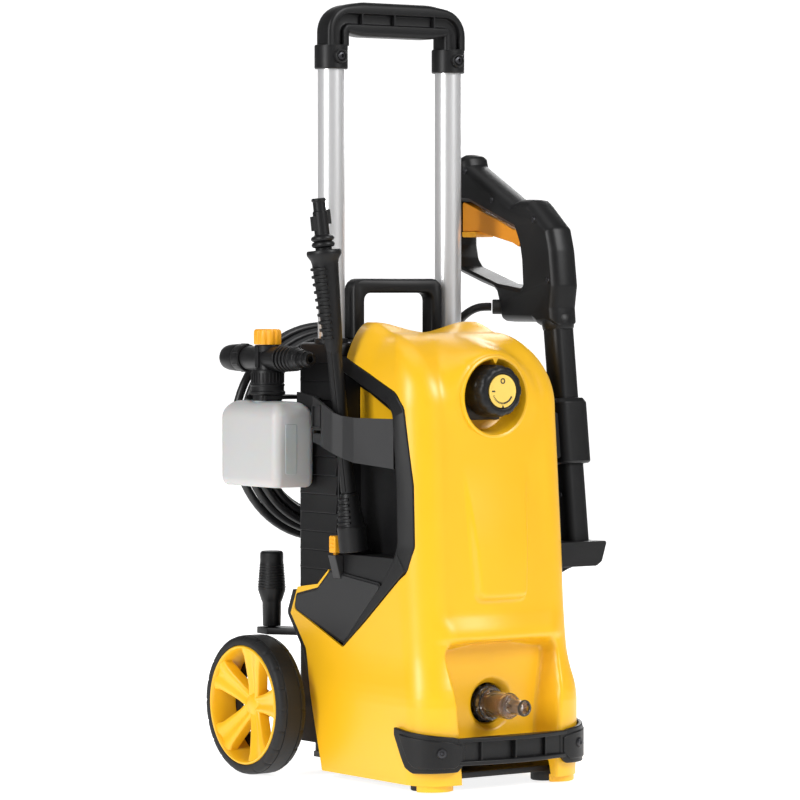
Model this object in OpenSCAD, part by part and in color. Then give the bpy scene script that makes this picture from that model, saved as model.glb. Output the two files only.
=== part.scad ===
// Upright electric pressure washer with its stowed accessories.
// Working frame while drawing: x = 0 is the mid plane, y = 0 the plane of the
// pull-handle tubes, the front faces -Y and the ground is z = 0.
// place() then moves everything so that the origin is bottom centre.

/* [Housing] */
// Half width of the front cover
cover_hw = 100; // [98:1:102]
// Front of the cover's flared foot, measured forward of the handle tubes
cover_front = 209; // [206:1:212]
// Height of the two humps
hump_z = 471; // [468:1:476]
// Wall of the moulded covers
wall = 3; // [2.5:0.5:3]
// Half width of the ribbed rear cover
rear_hw = 95; // [94:0.5:95]
// Back face of the rear cover
rear_back = 62; // [60:1:64]

/* [Pull handle] */
// Radius of the aluminium tubes
tube_r = 14; // [12:0.5:14]
// Half the distance between the two tubes
tube_x = 75; // [74:0.5:75]
// Height of the grip's top with the handle drawn out
grip_z = 803; // [790:1:815]

/* [Wheels] */
// Outer radius of the tyre
tyre_r = 72.5; // [70:0.5:74]
// Width of the wheel
wheel_w = 34; // [30:1:36]
// Inner side of the wheels, from the mid plane
wheel_x = 121; // [120:0.5:123]
// Axle position behind the tubes
axle_y = 48; // [46:1:50]
// Radius of the axle
axle_r = 5; // [4:0.5:6]

/* [Selector] */
// Height of the selector knob's axis
knob_z = 402; // [398:1:406]
// Radius of the selector knob
knob_r = 26.5; // [24:0.5:28]

/* [Water inlet] */
// Height of the inlet's axis
inlet_z = 84; // [82:1:88]
// Radius of the hose nipple at the inlet's tip
nipple_r = 7.8; // [7.5:0.1:8]

/* [Spray gun] */
// Mid plane of the stowed gun
gun_x = 150; // [148:1:152]
// Thickness of the gun's body
gun_t = 35; // [32:1:36]
// Radius of the gun's barrel
barrel_r = 14; // [12:0.5:14]

/* [Spray lance] */
// Radius of the lance's tube
lance_r = 7.5; // [6:0.5:8]
// Radius of the lance's nozzle
lance_nozzle_r = 15.5; // [13:0.5:15.5]

/* [Foam bottle] */
// Width of the bottle, across the machine
bottle_w = 50; // [46:1:50]
// Length of the bottle, front to back
bottle_l = 105; // [98:1:106]
// Radius of the bottle's cap
cap_r = 19; // [17:0.5:20]

/* [Hose] */
// Outside diameter of the high-pressure hose
hose_d = 9; // [8:0.5:9]
// Outer radius of the hose coil
coil_r = 118; // [112:1:120]

/* [Hidden] */
$fn = 48;
run_gap = 0.05;
origin_x = -8.5;
origin_y = 48.5;

// Outlines in (y, z) of the side recess, its black trim, the trim's hollow
// and the grey pocket panel. The left and right sides use the same ones.
recess_cut = [[-20, 440], [-46, 436], [-146, 400.5], [-157, 385.5], [-169, 308],
    [-172.5, 246], [-165.5, 220.5], [-98, 169], [-57, 138], [32, 172], [28, 188],
    [-11, 196], [-34, 216], [-20, 226]];
trim_outline = [[-43, 434], [-46, 433], [-144, 397.5], [-154.5, 383],
    [-166, 308], [-169.5, 246], [-163.5, 222.5], [-97.5, 170.5], [-58, 140.5],
    [-61, 144.5], [-127, 206], [-43, 216]];
trim_hollow = [[-42, 424], [-52, 419], [-134, 388.5], [-142, 379], [-150, 308],
    [-153, 247], [-146, 234], [-42, 234]];
pocket_panel = [[-35, 214], [-125, 205], [-59, 143.5], [30.5, 173.5], [27, 186.5],
    [-11.5, 194.5]];
trim_floor = 65;
shelf_face = 98;
trim_face = 101.5;

// Ribs down the flat sides of the rear cover
rib_z = 196;
rib_pitch = 19.4;
rib_h = 3;
rib_count = 13;

// Plate with the notch that carries the foam bottle's neck
fork_z = 390.5;
fork_t = 4;

// Motor and pump stand on one upright line.
drive_y = -4;

// Hose outlet and power-cord gland in the rear cover's back
outlet_x = 30;
outlet_z = 130;
gland_x = -45;
gland_z = 120;

// Lance: bottom and top of its axis.
lance_a = [-95, -70.7, 236.6];
lance_b = [-128, -54.3, 597];
lance_dir = (lance_b - lance_a) / norm(lance_b - lance_a);
lance_pitch = -asin(lance_dir[1]);
lance_yaw = asin(lance_dir[0] / cos(lance_pitch));

// Barrel of the stowed gun: it leans forward as it goes down.
barrel_top = [-94, 466];
barrel_tilt = -6.9;
barrel_l = 229;

// Foam bottle and its head
foam_x = -124;
foam_y = 46;
bottle_z = 300;
neck_z = 388;
neck_r = 15;
head_z = 433;
fan_end = 122;

// Hose coil and routes of the two leads
coil_y = 117.5;
coil_z = 352;
coil_in = 84;
coil_half = 14;
lead_gun = [[113, 106, 340], [113.8, 103, 356], [114.3, 97, 374], [114.5, 90, 391],
    [114.5, 82, 407], [114.3, 73, 422], [114, 63, 436], [113.7, 53, 448.5],
    [113.3, 43, 459.5], [113, 34, 468], [113.3, 26, 474.5], [114.8, 18.5, 479.5],
    [117.7, 12, 483.2], [121.8, 6.5, 485.4], [126.6, 1.6, 486], [131.3, -1.8, 486]];
lead_pump = [[30, 91, 130], [30, 100.3, 131.2], [30, 109, 134.8], [30.3, 116.5, 140.5],
    [31, 122.2, 148], [32.5, 125.8, 156.7], [35, 127, 166], [40, 127, 181],
    [46.5, 127, 196], [54, 127, 211], [62, 126.8, 226], [70, 126.6, 241],
    [78, 126.5, 256], [85, 126.5, 270.5], [90.3, 126.5, 283.5]];

function rib_outline(z) = [[-40, z], [26, z], [26, z + rib_h], [-40, z + rib_h]];

module place() { translate([origin_x, origin_y, 0]) children(); }
module mirror_x() { mirror([1, 0, 0]) children(); }
module both_sides() {
    children();
    mirror_x() children();
}
module box(x0, x1, y0, y1, z0, z1) {
    translate([x0, y0, z0]) cube([x1 - x0, y1 - y0, z1 - z0]);
}
module rod_x(x0, x1, y, z, r) { translate([x0, y, z]) rotate([0, 90, 0]) cylinder(h = x1 - x0, r = r); }
module rod_y(y0, y1, x, z, r) { translate([x, y0, z]) rotate([-90, 0, 0]) cylinder(h = y1 - y0,
    r = r); }
module rod_z(z0, z1, x, y, r) { translate([x, y, z0]) cylinder(h = z1 - z0, r = r); }
// Plate with an outline in (y, z), from x0 to x1
module side_plate(pts, x0, x1) {
    translate([x0, 0, 0]) rotate([90, 0, 90]) linear_extrude(x1 - x0) polygon(pts);
}
// Plate with an outline in (x, z), from y0 to y1
module front_plate(pts, y0, y1) {
    translate([0, y1, 0]) rotate([90, 0, 0]) linear_extrude(y1 - y0) polygon(pts);
}
module plan_plate(pts, z0, z1) { translate([0, 0, z0]) linear_extrude(z1 - z0) polygon(pts); }
// Pipe along Y with a bore
module pipe_y(y0, y1, x, z, r, bore) {
    difference() {
        rod_y(y0, y1, x, z, r);
        rod_y(y0 - 1, y1 + 1, x, z, bore);
    }
}
module ring_z(z0, z1, x, y, r, bore) {
    difference() {
        rod_z(z0, z1, x, y, r);
        rod_z(z0 - 1, z1 + 1, x, y, bore);
    }
}

function arc(cx, cy, r, a0, a1, n = 8) =
    [for (i = [0:n]) [cx + r * cos(a0 + (a1 - a0) * i / n), cy + r * sin(a0 + (a1 - a0) * i / n)]];
function mirrored(pts) = [for (i = [len(pts) - 1:-1:0]) [-pts[i][0], pts[i][1]]];

// ---- Front cover ----
// Each outline takes t, how far it lies inside the outer skin.
skirt_hw = cover_hw + 5;
skirt_top = 125;
corner_r = 36;
upper_front = cover_front - 10;
shoulder_z = 385;
hump_x = 62;
function cover_side(t, back) = concat(
    [[-cover_front + t, t > 0 ? 0 : 8], [-cover_front + t, 95], [-upper_front + t, skirt_top],
        [-191 + t, 187],
    [-184 + t, 300], [-179 + t, 371], [-172 + t, 402 - t], [-164 + t, 417 - t], [-152 + t, 433 - t],
    [-133, 448 - t], [-106, 461 - t], [-57, hump_z - t]], back);
function cover_half(t) = concat(
    [[skirt_hw - t, t > 0 ? 0 : 8], [skirt_hw - t, 95], [cover_hw - t, skirt_top], [cover_hw - t, 290],
    [cover_hw - 2 - t, shoulder_z]],
    [for (a = [15:15:75]) [hump_x + (corner_r - t) * cos(a),
        shoulder_z + (hump_z - shoulder_z - t) * sin(a)]],
    [for (x = [60:-15:0]) [x, hump_z - t - 13 * (1 + cos(3 * x)) / 2]]);
function cover_plan(hw, front, t) = concat(
    [[hw - t, 90], [hw - t, -front + corner_r]],
    arc(hw - corner_r, -front + corner_r, corner_r - t, 0, -90),
    [[0, -front - 1 + t]]);
cover_back = [[-50, hump_z - 1], [-50, 217], [-32, 217], [-11, 200], [26, 195], [39, 167],
    [10, 132], [-2, 97], [-25, 8]];
module cover_solid(t, back) {
    lower = cover_plan(skirt_hw, cover_front, t);
    upper = cover_plan(cover_hw, upper_front, t);
    intersection() {
        side_plate(cover_side(t, back), -120, 120);
        front_plate(concat(cover_half(t), mirrored(cover_half(t))), -230, 120);
        union() {
            plan_plate(concat(lower, mirrored(lower)), -1, skirt_top - t);
            plan_plate(concat(upper, mirrored(upper)), skirt_top - t - 0.1, 480);
        }
    }
}
// The same, filled up to the back of the cover
module cover_block(t) { cover_solid(t, [[100, hump_z - 8], [100, 0]]); }
inlet_recess = [[-66, 149], [73, 149], [64, 52], [-62, 52], [-80, 95], [-82, 120]];
inlet_recess_wall = [[-70, 152], [77, 152], [67, 49], [-65, 49], [-84, 94], [-86, 122]];
recess_y = -177;
// The knob's well is a little lower than the knob, so that a thumb gets under it.
well_z = knob_z - 6;
well_r = 39.5;
well_y = -164.5;
well_front = -184;
front_panel = [[-40, 310], [40, 310], [30, 188], [-30, 188]];
module front_cover() {
    color("gold") place() difference() {
        union() {
            difference() {
                union() {
                    cover_solid(0, cover_back);
                    // Low raised panel on the front
                    intersection() {
                        front_plate(front_panel, -230, -150);
                        cover_solid(-1.2, cover_back);
                    }
                }
                cover_block(wall);
            }
            rod_y(well_front, well_y + wall, 0, well_z, well_r + wall);
            intersection() {
                front_plate(inlet_recess_wall, -cover_front - 5, recess_y + wall);
                cover_solid(0, cover_back);
            }
        }
        rod_y(well_front - 1, well_y, 0, well_z, well_r);
        rod_y(well_front, 0, 0, knob_z, 7);
        front_plate(inlet_recess, -cover_front - 10, recess_y);
        rod_y(-cover_front, 0, 0, inlet_z, 21.5);
        side_plate(recess_cut, 60, 120);
        side_plate(recess_cut, -120, -60);
    }
}

// ---- Rear cover ----
function rear_plan(t) = [[rear_hw - t, -42 + t], [rear_hw - t, 28], [72 - t, rear_back - t]];
rear_bottom = 34;
rear_top = 452;
screw_spots = [for (x = [-60, 60]) for (z = [102, 210, 290]) [x, z]];
module rear_cover() {
    color([0.1, 0.1, 0.1]) place() difference() {
        union() {
            difference() {
                plan_plate(concat(rear_plan(0), mirrored(rear_plan(0))), rear_bottom, rear_top);
                plan_plate(concat(rear_plan(wall), mirrored(rear_plan(wall))), rear_bottom - 1,
                    rear_top - wall);
                box(-62, 62, -60, -30, rear_bottom - 1, rear_top - wall);
            }
            box(-78, 78, -66, -40, rear_top - wall, rear_top);
            for (s = [-1, 1]) rod_z(rear_top - 1, rear_top + 2, s * tube_x, 0, 17.6);
            // Shingled ribs on both sides
            for (s = [-1, 1]) for (i = [0:rib_count - 1])
                side_plate(rib_outline(rib_z + rib_pitch * i),
                    s * rear_hw - 0.6, s * rear_hw + 0.6);
        }
        for (s = [-1, 1]) rod_z(rear_top - 10, rear_top + 10, s * tube_x, 0, tube_r + 1);
        rod_x(-120, 120, axle_y, tyre_r, axle_r);
        rod_y(30, 80, outlet_x, outlet_z, 7.5);
        rod_y(30, 80, gland_x, gland_z, 6);
        for (p = screw_spots) rod_y(30, 80, p[0], p[1], 2.2);
    }
}

// ---- Recess trims, pockets and holders ----
module trim_frame_shape() {
    difference() {
        // Its face follows the cover's rounded corner.
        intersection() {
            side_plate(trim_outline, trim_floor, trim_face);
            cover_block(cover_hw - trim_face);
        }
        side_plate(trim_hollow, trim_floor + wall, 120);
        side_plate([[-129, 205], [-42, 214.6], [-42, 234], [-146, 234]], shelf_face, 120);
        side_plate([[-127, 204], [-43, 214], [-43, 231], [-148, 231], [-156, 225]], trim_floor - 1, 95);
    }
}
module left_trim_frame() { color([0.09, 0.09, 0.1]) place() mirror_x() trim_frame_shape(); }
module right_trim_frame() { color([0.09, 0.09, 0.1]) place() trim_frame_shape(); }
module pocket_shape() { side_plate(pocket_panel, trim_face - 5, trim_face - 1); }
// The left pocket also carries the socket of the release button.
latch_y = [-54.4, -43.4];
module left_pocket() {
    color([0.25, 0.25, 0.26]) place() {
        mirror_x() pocket_shape();
        difference() {
            front_plate([[-108, 232], [-shelf_face - 0.3, 232], [-shelf_face - 0.3, 209], [-101, 209]],
                latch_y[0], latch_y[1]);
            box(-106, -100, latch_y[0] + 2.5, latch_y[1] - 2.5, 222, 240);
        }
    }
}
module right_pocket() { color([0.25, 0.25, 0.26]) place() pocket_shape(); }
module latch_button() {
    color("gold") place() {
        box(-108, -shelf_face - 0.5, latch_y[0], latch_y[1], 234.5, 252);
        box(-105.5, -100.5, latch_y[0] + 3, latch_y[1] - 3, 226.5, 234.6);
    }
}

band_t = 3;
loop_r = 20.5;
loop_c = [-105.5, -65.5];
module left_holder_band() {
    color([0.25, 0.25, 0.26]) place() {
        // Front strap and the loop round the lance
        plan_plate([[-97, -141], [-100, -141], [-121, -84], [-119, -78], [-116, -81]], 327, 374);
        difference() {
            rod_z(329, 374, loop_c[0], loop_c[1], loop_r);
            rod_z(328, 375, loop_c[0], loop_c[1], loop_r - band_t);
            plan_plate([[-80, -98], [-120, -84], [-105.5, -65.5], [-112, -40], [-80, -30]], 328, 375);
        }
        // Rear strap, which rises and runs on behind the bottle
        plan_plate([[-121.5, -53.5], [-123.5, -51], [-119.5, -31], [-101, -12], [-98.5, -8],
            [-98.5, 29.4], [-95.7, 29.4], [-95.7, -8], [-98.6, -14], [-116.5, -32.5],
            [-120.4, -50]], 347, 398);
        // Fork under the bottle's cap
        difference() {
            plan_plate([[-140, 29], [-95.7, 29], [-95.4, 29.2], [-84, 46], [-84, 66], [-140, 66]],
                fork_z, fork_z + fork_t);
            rod_z(389, 396, foam_x, foam_y, neck_r + 0.5);
            box(-150, foam_x, foam_y - neck_r - 0.5, foam_y + neck_r + 0.5, 389, 396);
        }
    }
}

module barrel_frame() { translate([gun_x, barrel_top[0], barrel_top[1]]) rotate([barrel_tilt, 0,
    0]) children(); }
module gun_collar_holder() {
    color([0.1, 0.1, 0.1]) place() barrel_frame() difference() {
        union() {
            rod_z(-146, -77, 0, 0, barrel_r + 6);
            box(trim_floor + wall - gun_x + 0.3, -10, -13, 13, -140, -92);
        }
        rod_z(-150, -70, 0, 0, barrel_r + 0.6);
    }
}
module gun_rest_cup() {
    z0 = 220;
    color([0.1, 0.1, 0.1]) place() difference() {
        union() {
            box(trim_face + 0.3, gun_x + 22, -148, -92, z0, z0 + 22);
            front_plate([[trim_face + 0.3, z0 - 36], [trim_face + 0.3, z0 + 1], [gun_x + 8,
                z0 + 1]], -124, -116);
        }
        barrel_frame() rod_z(-barrel_l - 0.6, -100, 0, 0, barrel_r + 0.6);
    }
}

// ---- Front bumper, carry handle, base ----
bumper_cx = skirt_hw - corner_r;
bumper_cy = -cover_front + corner_r;
bumper_out = corner_r + 6;
module bumper_corner() {
    intersection() {
        difference() {
            rod_z(24, 70, bumper_cx, bumper_cy, bumper_out);
            rod_z(23, 71, bumper_cx, bumper_cy, corner_r + 0.6);
        }
        box(bumper_cx, bumper_cx + 50, bumper_cy - 50, bumper_cy, 20, 75);
    }
    box(skirt_hw + 0.6, skirt_hw + 6, bumper_cy - 0.02, bumper_cy + 12, 24, 70);
}
// Rod through the bumper's corner; its distances are from the corner's centre.
module bumper_rod(from, to, r) {
    translate([bumper_cx, bumper_cy, 42]) rotate([0, 0, -65]) rod_x(from, to, 0, 0, r);
}
function bow_line(n, rim, depth) = concat(
    [for (i = [0:n]) let (u = 2 * i / n - 1) [bumper_cx * u, -cover_front - rim - depth * (1 - u * u)]],
    [[bumper_cx, -cover_front - 1.6], [-bumper_cx, -cover_front - 1.6]]);
module front_bumper_handle() {
    bow = bow_line(8, 6, 10);
    color([0.1, 0.1, 0.1]) place() difference() {
        union() {
            both_sides() bumper_corner();
            for (z = [29, 53]) plan_plate(bow, z, z + 4);
            plan_plate(bow_line(8, 3.5, 4), 30, 56);
            intersection() {
                plan_plate(bow, 30, 56);
                for (x = [-42:40:38]) box(x - 1.2, x + 1.2, -cover_front - 40, -cover_front, 30, 56);
            }
        }
        both_sides() bumper_rod(30, 50, 2.5);
    }
}
carry_hw = 57;
carry_top = 516;
module carry_handle() {
    color([0.1, 0.1, 0.1]) place() difference() {
        front_plate(concat([[-carry_hw, rear_top]], arc(-carry_hw + 12, carry_top - 12, 12, 180, 90, 4),
            arc(carry_hw - 12, carry_top - 12, 12, 90, 0, 4), [[carry_hw, rear_top]]), -16, 4);
        front_plate(concat([[-carry_hw + 14, rear_top - 1]], arc(-carry_hw + 22, carry_top - 23, 8,
            180, 90, 4),
            arc(carry_hw - 22, carry_top - 23, 8, 90, 0, 4), [[carry_hw - 14, rear_top - 1]]), -17, 5);
    }
}
module tube_guides() {
    color([0.3, 0.3, 0.3]) place() for (s = [-1, 1]) for (z = [[297, 330], [420,
        rear_top - wall - 0.1]])
        ring_z(z[0], z[1], s * tube_x, 0, rear_hw - wall - tube_x - 0.1, tube_r + run_gap);
}
module base_chassis() {
    color([0.12, 0.12, 0.12]) place() difference() {
        union() {
            plan_plate([[-91, -160], [-70, -190], [70, -190], [91, -160], [91, -44], [60, -44],
                [60, -30], [60, 55],
                [-60, 55], [-60, -44], [-91, -44]], 12, 18);
            for (s = [-1, 1]) box(s * 37 - 3, s * 37 + 3, -34, 30, 17, 69.6);
            for (s = [-1, 1]) box(s * 54 - 4, s * 54 + 4, 38, 55, 17, 84);
        }
        rod_x(-70, 70, axle_y, tyre_r, axle_r);
    }
}
module front_feet() {
    color([0.12, 0.12, 0.12]) place() both_sides() {
        rod_z(0, 12, 76, -165, 13);
    }
}

// ---- Axle and wheels ----
axle_in_hub = 18;
module axle() {
    color("silver") place() rod_x(-wheel_x - axle_in_hub, wheel_x + axle_in_hub, axle_y, tyre_r,
        axle_r);
}
module axle_washers() {
    color("silver") place() both_sides() difference() {
        rod_x(wheel_x - 3, wheel_x - 0.5, axle_y, tyre_r, 11);
        rod_x(wheel_x - 5, wheel_x + 2, axle_y, tyre_r, axle_r);
    }
}
spokes = 5;
spoke_turn = 30;
spoke_lean = 11.3;
rim_r = 62;
module rim_shape() {
    face = wheel_x + wheel_w;
    difference() {
        union() {
            difference() {
                rod_x(wheel_x + 1, face - 1, axle_y, tyre_r, rim_r);
                rod_x(wheel_x, face, axle_y, tyre_r, rim_r - 5);
            }
            // Flange at the inner side, open in the middle
            difference() {
                rod_x(wheel_x + 1, wheel_x + 5, axle_y, tyre_r, rim_r - 4);
                rod_x(wheel_x, wheel_x + 6, axle_y, tyre_r, rim_r - 16);
            }
            rod_x(wheel_x + 1, wheel_x + axle_in_hub + 4, axle_y, tyre_r, 15);
            // The spokes lean outwards from the hub to the rim
            translate([wheel_x + 8, axle_y, tyre_r]) for (i = [0:spokes - 1])
                rotate([spoke_turn + i * 360 / spokes, 0, 0]) rotate([0, 0, -spoke_lean])
                    side_plate([[8, -8], [rim_r - 3, -14], [rim_r - 3, 14], [8, 8]], 0, 9);
        }
        rod_x(wheel_x - 5, wheel_x + axle_in_hub + 1, axle_y, tyre_r, axle_r + run_gap);
    }
}
module tyre_shape() {
    face = wheel_x + wheel_w;
    difference() {
        translate([wheel_x, axle_y, tyre_r]) rotate([0, 90, 0]) rotate_extrude()
            polygon([[rim_r, 0], [tyre_r - 5, 0], [tyre_r, 5], [tyre_r, wheel_w - 5],
                [tyre_r - 5, wheel_w], [rim_r, wheel_w]]);
        for (a = [0:30:330]) translate([0, axle_y, tyre_r]) rotate([a, 0, 0])
            box(face - 14, face + 1, -1.2, 1.2, tyre_r - 2, tyre_r + 4);
    }
}
module left_rim() { color("gold") place() mirror_x() rim_shape(); }
module right_rim() { color("gold") place() rim_shape(); }
module left_tyre() { color([0.08, 0.08, 0.08]) place() mirror_x() tyre_shape(); }
module right_tyre() { color([0.08, 0.08, 0.08]) place() tyre_shape(); }

// ---- Pull handle ----
tube_low = 293;
grip_low = grip_z - 46;
module handle_tubes() {
    color("silver") place() for (s = [-1, 1])
        ring_z(tube_low, grip_low, s * tube_x, 0, tube_r, tube_r - 1.5);
}
// Upright U outline, its legs ending at grip_low
function grip_u(hw, top, r) = concat([[-hw, grip_low]], arc(-hw + r, top - r, r, 180, 90, 6),
    arc(hw - r, top - r, r, 90, 0, 6), [[hw, grip_low]]);
module handle_grip() {
    color([0.1, 0.1, 0.1]) place() difference() {
        union() {
            difference() {
                front_plate(grip_u(88, grip_z, 40), -15, 15);
                translate([0, 0, -1]) front_plate(grip_u(61, grip_z - 35, 8), -20, 20);
                // Ribbed channel along the front
                difference() {
                    front_plate(grip_u(80.5, grip_z - 11, 33), -16, -9);
                    front_plate(grip_u(68.5, grip_z - 23.5, 20), -17, -8);
                    for (x = [-45, -4, 47]) box(x - 0.8, x + 0.8, -14.5, -8, grip_low, grip_z);
                }
            }
            for (s = [-1, 1]) rod_z(grip_z - 70, grip_low + 1, s * tube_x, 0, tube_r + 3.4);
        }
        for (s = [-1, 1]) rod_z(grip_z - 80, grip_low, s * tube_x, 0, tube_r);
    }
}
module handle_screws() {
    color("dimgray") place() for (s = [-1, 1]) rod_y(-tube_r - 5.5, -tube_r - 3.45, s * tube_x,
        grip_z - 57, 4.5);
}

// ---- Selector ----
knob_front = -196.5;
switch_y = -159.5;
module switch_box() {
    color([0.2, 0.2, 0.22]) place() difference() {
        box(-24, 24, switch_y, -128, knob_z - 30, knob_z + 13);
        rod_y(switch_y - 1, -144, 0, knob_z, 6 + run_gap);
    }
}
module selector_knob() {
    color([0.08, 0.08, 0.08]) place() {
        difference() {
            rod_y(knob_front, knob_front + 29, 0, knob_z, knob_r);
            rod_y(knob_front - 1, knob_front + 1.5, 0, knob_z, 17);
        }
        rod_y(knob_front + 28, -146, 0, knob_z, 6);
    }
}
module knob_dial_disc() { color("gold") place() rod_y(knob_front - 0.4, knob_front + 1.5, 0,
    knob_z, 16.8); }

// ---- Drive ----
module motor_stator() {
    color("slategray") place() {
        ring_z(211, 329, 0, drive_y, 50, 31);
        ring_z(200, 211, 0, drive_y, 50, 6 + run_gap);
        ring_z(329, 340, 0, drive_y, 50, 6 + run_gap);
    }
}
module motor_rotor() {
    color("peru") place() {
        rod_z(178, 372, 0, drive_y, 6);
        rod_z(225, 315, 0, drive_y, 30);
    }
}
module cooling_fan() {
    color([0.2, 0.2, 0.2]) place() difference() {
        union() {
            rod_z(346, 349, 0, drive_y, 44);
            rod_z(346, 364, 0, drive_y, 12);
            translate([0, drive_y, 0]) for (a = [0:45:315]) rotate([0, 0, a]) box(10, 43, -1, 1,
                348, 363);
        }
        rod_z(340, 370, 0, drive_y, 6);
    }
}
module pump_wobble_plate() { color("silver") place() ring_z(182, 196, 0, drive_y, 28, 6); }
module pump_head() {
    color("lightgray") place() difference() {
        union() {
            rod_z(70, 168, 0, drive_y, 40);
            ring_z(167, 199.9, 0, drive_y, 40, 33);
        }
        for (a = [0:120:240]) rod_z(150, 170, 20 * cos(a), drive_y + 20 * sin(a), 6.1);
    }
}
module pump_pistons() {
    color("silver") place() for (a = [0:120:240]) rod_z(152, 180, 20 * cos(a),
        drive_y + 20 * sin(a), 6);
}
module capacitor() { color("gainsboro") place() rod_z(240, 320, -30, -100, 17); }
module water_pipes() {
    color("gray") place() {
        pipe_y(-150, drive_y - 41, 0, inlet_z, 9, 6);
        pipe_y(-166, -150, 0, inlet_z, 12, 8);
        pipe_y(30, rear_back - 0.1, outlet_x, outlet_z, 7, 4);
    }
}
module outlet_connector() {
    color("goldenrod") place() {
        pipe_y(rear_back, rear_back + 6, outlet_x, outlet_z, 13, 4);
        pipe_y(rear_back + 6, rear_back + 28.8, outlet_x, outlet_z, 9.5, 4);
    }
}
module housing_screws() {
    color("dimgray") place() {
        for (p = screw_spots) {
            rod_y(rear_back, rear_back + 2, p[0], p[1], 4.5);
            rod_y(rear_back - 12, rear_back, p[0], p[1], 2);
        }
        both_sides() {
            bumper_rod(bumper_out, bumper_out + 2, 5);
            bumper_rod(corner_r + 0.2, bumper_out, 2.5);
        }
    }
}
module cord_gland() {
    color([0.1, 0.1, 0.1]) place() pipe_y(rear_back - 8, rear_back + 14, gland_x, gland_z, 6, 3.6);
}

// ---- Water inlet ----
// The parts follow one another backwards from the tip.
inlet_tip = -235.5;
module inlet_collar() {
    color([0.1, 0.1, 0.1]) place() difference() {
        union() {
            rod_y(-168, -152, 0, inlet_z, 18.5);
            for (a = [0:30:330]) translate([0, 0, inlet_z]) rotate([0, a, 0]) box(-2, 2, -167,
                -153, 17, 19.6);
        }
        rod_y(-170, -150, 0, inlet_z, 12 + run_gap);
    }
}
// Radius of the groove behind the tip that holds the O-ring
o_ring_seat = nipple_r - 1;
module inlet_filter_housing() {
    color([0.6, 0.5, 0.45, 0.6]) place() difference() {
        union() {
            rod_y(-179, -168.4, 0, inlet_z, 17);
            rod_y(-209, -179, 0, inlet_z, 13.5);
            rod_y(-212.5, -209, 0, inlet_z, 11.5);
            rod_y(inlet_tip + 3.8, -212.5, 0, inlet_z, nipple_r);
            rod_y(inlet_tip + 1.3, inlet_tip + 3.8, 0, inlet_z, o_ring_seat);
            rod_y(inlet_tip, inlet_tip + 1.3, 0, inlet_z, nipple_r - 0.6);
        }
        rod_y(inlet_tip - 5, -160, 0, inlet_z, 5);
        rod_y(-207, -160, 0, inlet_z, 11);
    }
}
module inlet_filter_screen() { color("chocolate") place() pipe_y(-206, -170, 0, inlet_z, 8, 7); }
module inlet_o_ring() {
    color([0.05, 0.05, 0.05]) place()
        pipe_y(inlet_tip + 1.3, inlet_tip + 3.8, 0, inlet_z, nipple_r - 0.1, o_ring_seat);
}

// ---- Rear hook and nozzle holder ----
module hose_hook() {
    hook_hw = 16;
    top = coil_z + sqrt(pow(coil_in, 2) - pow(hook_hw, 2)) - 0.4;
    color([0.1, 0.1, 0.1]) place() {
        box(-hook_hw, hook_hw, rear_back + 0.2, coil_y + coil_half + 7, top - 9, top);
        box(-hook_hw, hook_hw, coil_y + coil_half + 2, coil_y + coil_half + 7, top - 1, top + 18);
        side_plate([[rear_back + 0.2, top - 40], [rear_back + 0.2, top - 8], [rear_back + 40,
            top - 8]], -4, 4);
    }
}
turbo_x = -95;
turbo_y = 82;
turbo_z = 150;
module nozzle_holder() {
    color([0.1, 0.1, 0.1]) place() {
        plan_plate([[-85, 43.5], [-71.5, rear_back + 1.2], [-82, turbo_y + 12], [-106, turbo_y + 12],
            [-108, turbo_y - 10]], turbo_z - 8, turbo_z - 1);
        rod_z(turbo_z - 2, turbo_z + 24, turbo_x, turbo_y, 4);
    }
}
module turbo_nozzle() {
    color([0.12, 0.12, 0.12]) place() translate([turbo_x, turbo_y, turbo_z]) rotate_extrude()
        polygon([[4 + run_gap, 0], [9, 0], [10, 26], [14.5, 38], [12, 76], [10, 79], [0, 79], [0, 27],
            [4 + run_gap, 27]]);
}

// ---- Gun ----
gun_outline = [[92, 538], [92, 606], [86, 630], [71, 646], [56, 650.5], [47.7, 648], [45, 638.3],
    [-27.2, 600.3], [-32.5, 597], [-43.8, 600], [-62.9, 599.6], [-69, 595.3], [-94.8, 573.8],
    [-99.9, 569.5], [-106.7, 546.3], [-111.8, 508.4], [-108, 485.3], [-110, 466], [-76, 466],
    [-68, 470], [-12.1, 470], [-8.5, 487], [-3.2, 501], [2, 505], [27, 511.5], [63.3, 522.5]];
gun_opening = [[69.6, 566], [69.6, 553], [65.9, 539], [56.9, 529], [29.9, 521.4], [-5.7, 511],
    [-52.5, 505], [-50.3, 536], [-46.8, 552], [-38, 569.5], [-12, 579], [42, 598.5], [66, 600]];
gun_screws_at = [[49, 632], [0, 600], [-73.5, 578], [-98, 514]];
trigger_pin = [-45.5, 562.5];
module gun_body() {
    color([0.1, 0.1, 0.1]) place() difference() {
        side_plate(gun_outline, gun_x - gun_t / 2, gun_x + gun_t / 2);
        difference() {
            side_plate(gun_opening, gun_x - 30, gun_x + 30);
            rod_x(gun_x - 12, gun_x + 12, trigger_pin[0], trigger_pin[1], 2);
        }
        // Slot that the trigger closes into
        difference() {
            side_plate([[-39, 548], [-54, 554], [-54, 571], [-44, 574], [-28, 580], [0, 593], [50, 620],
                [68, 620],
                [72, 604], [69.6, 560], [0, 556]], gun_x - 10.6, gun_x + 10.6);
            rod_x(gun_x - 12, gun_x + 12, trigger_pin[0], trigger_pin[1], 2);
        }
        barrel_frame() rod_z(-5, 30, 0, 0, barrel_r);
        // Seat of the hose inlet
        translate([148, -14, 486]) rotate([0, 0, 55]) rotate([-90, 0, 0]) cylinder(h = 40, r = 8);
    }
}
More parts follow.
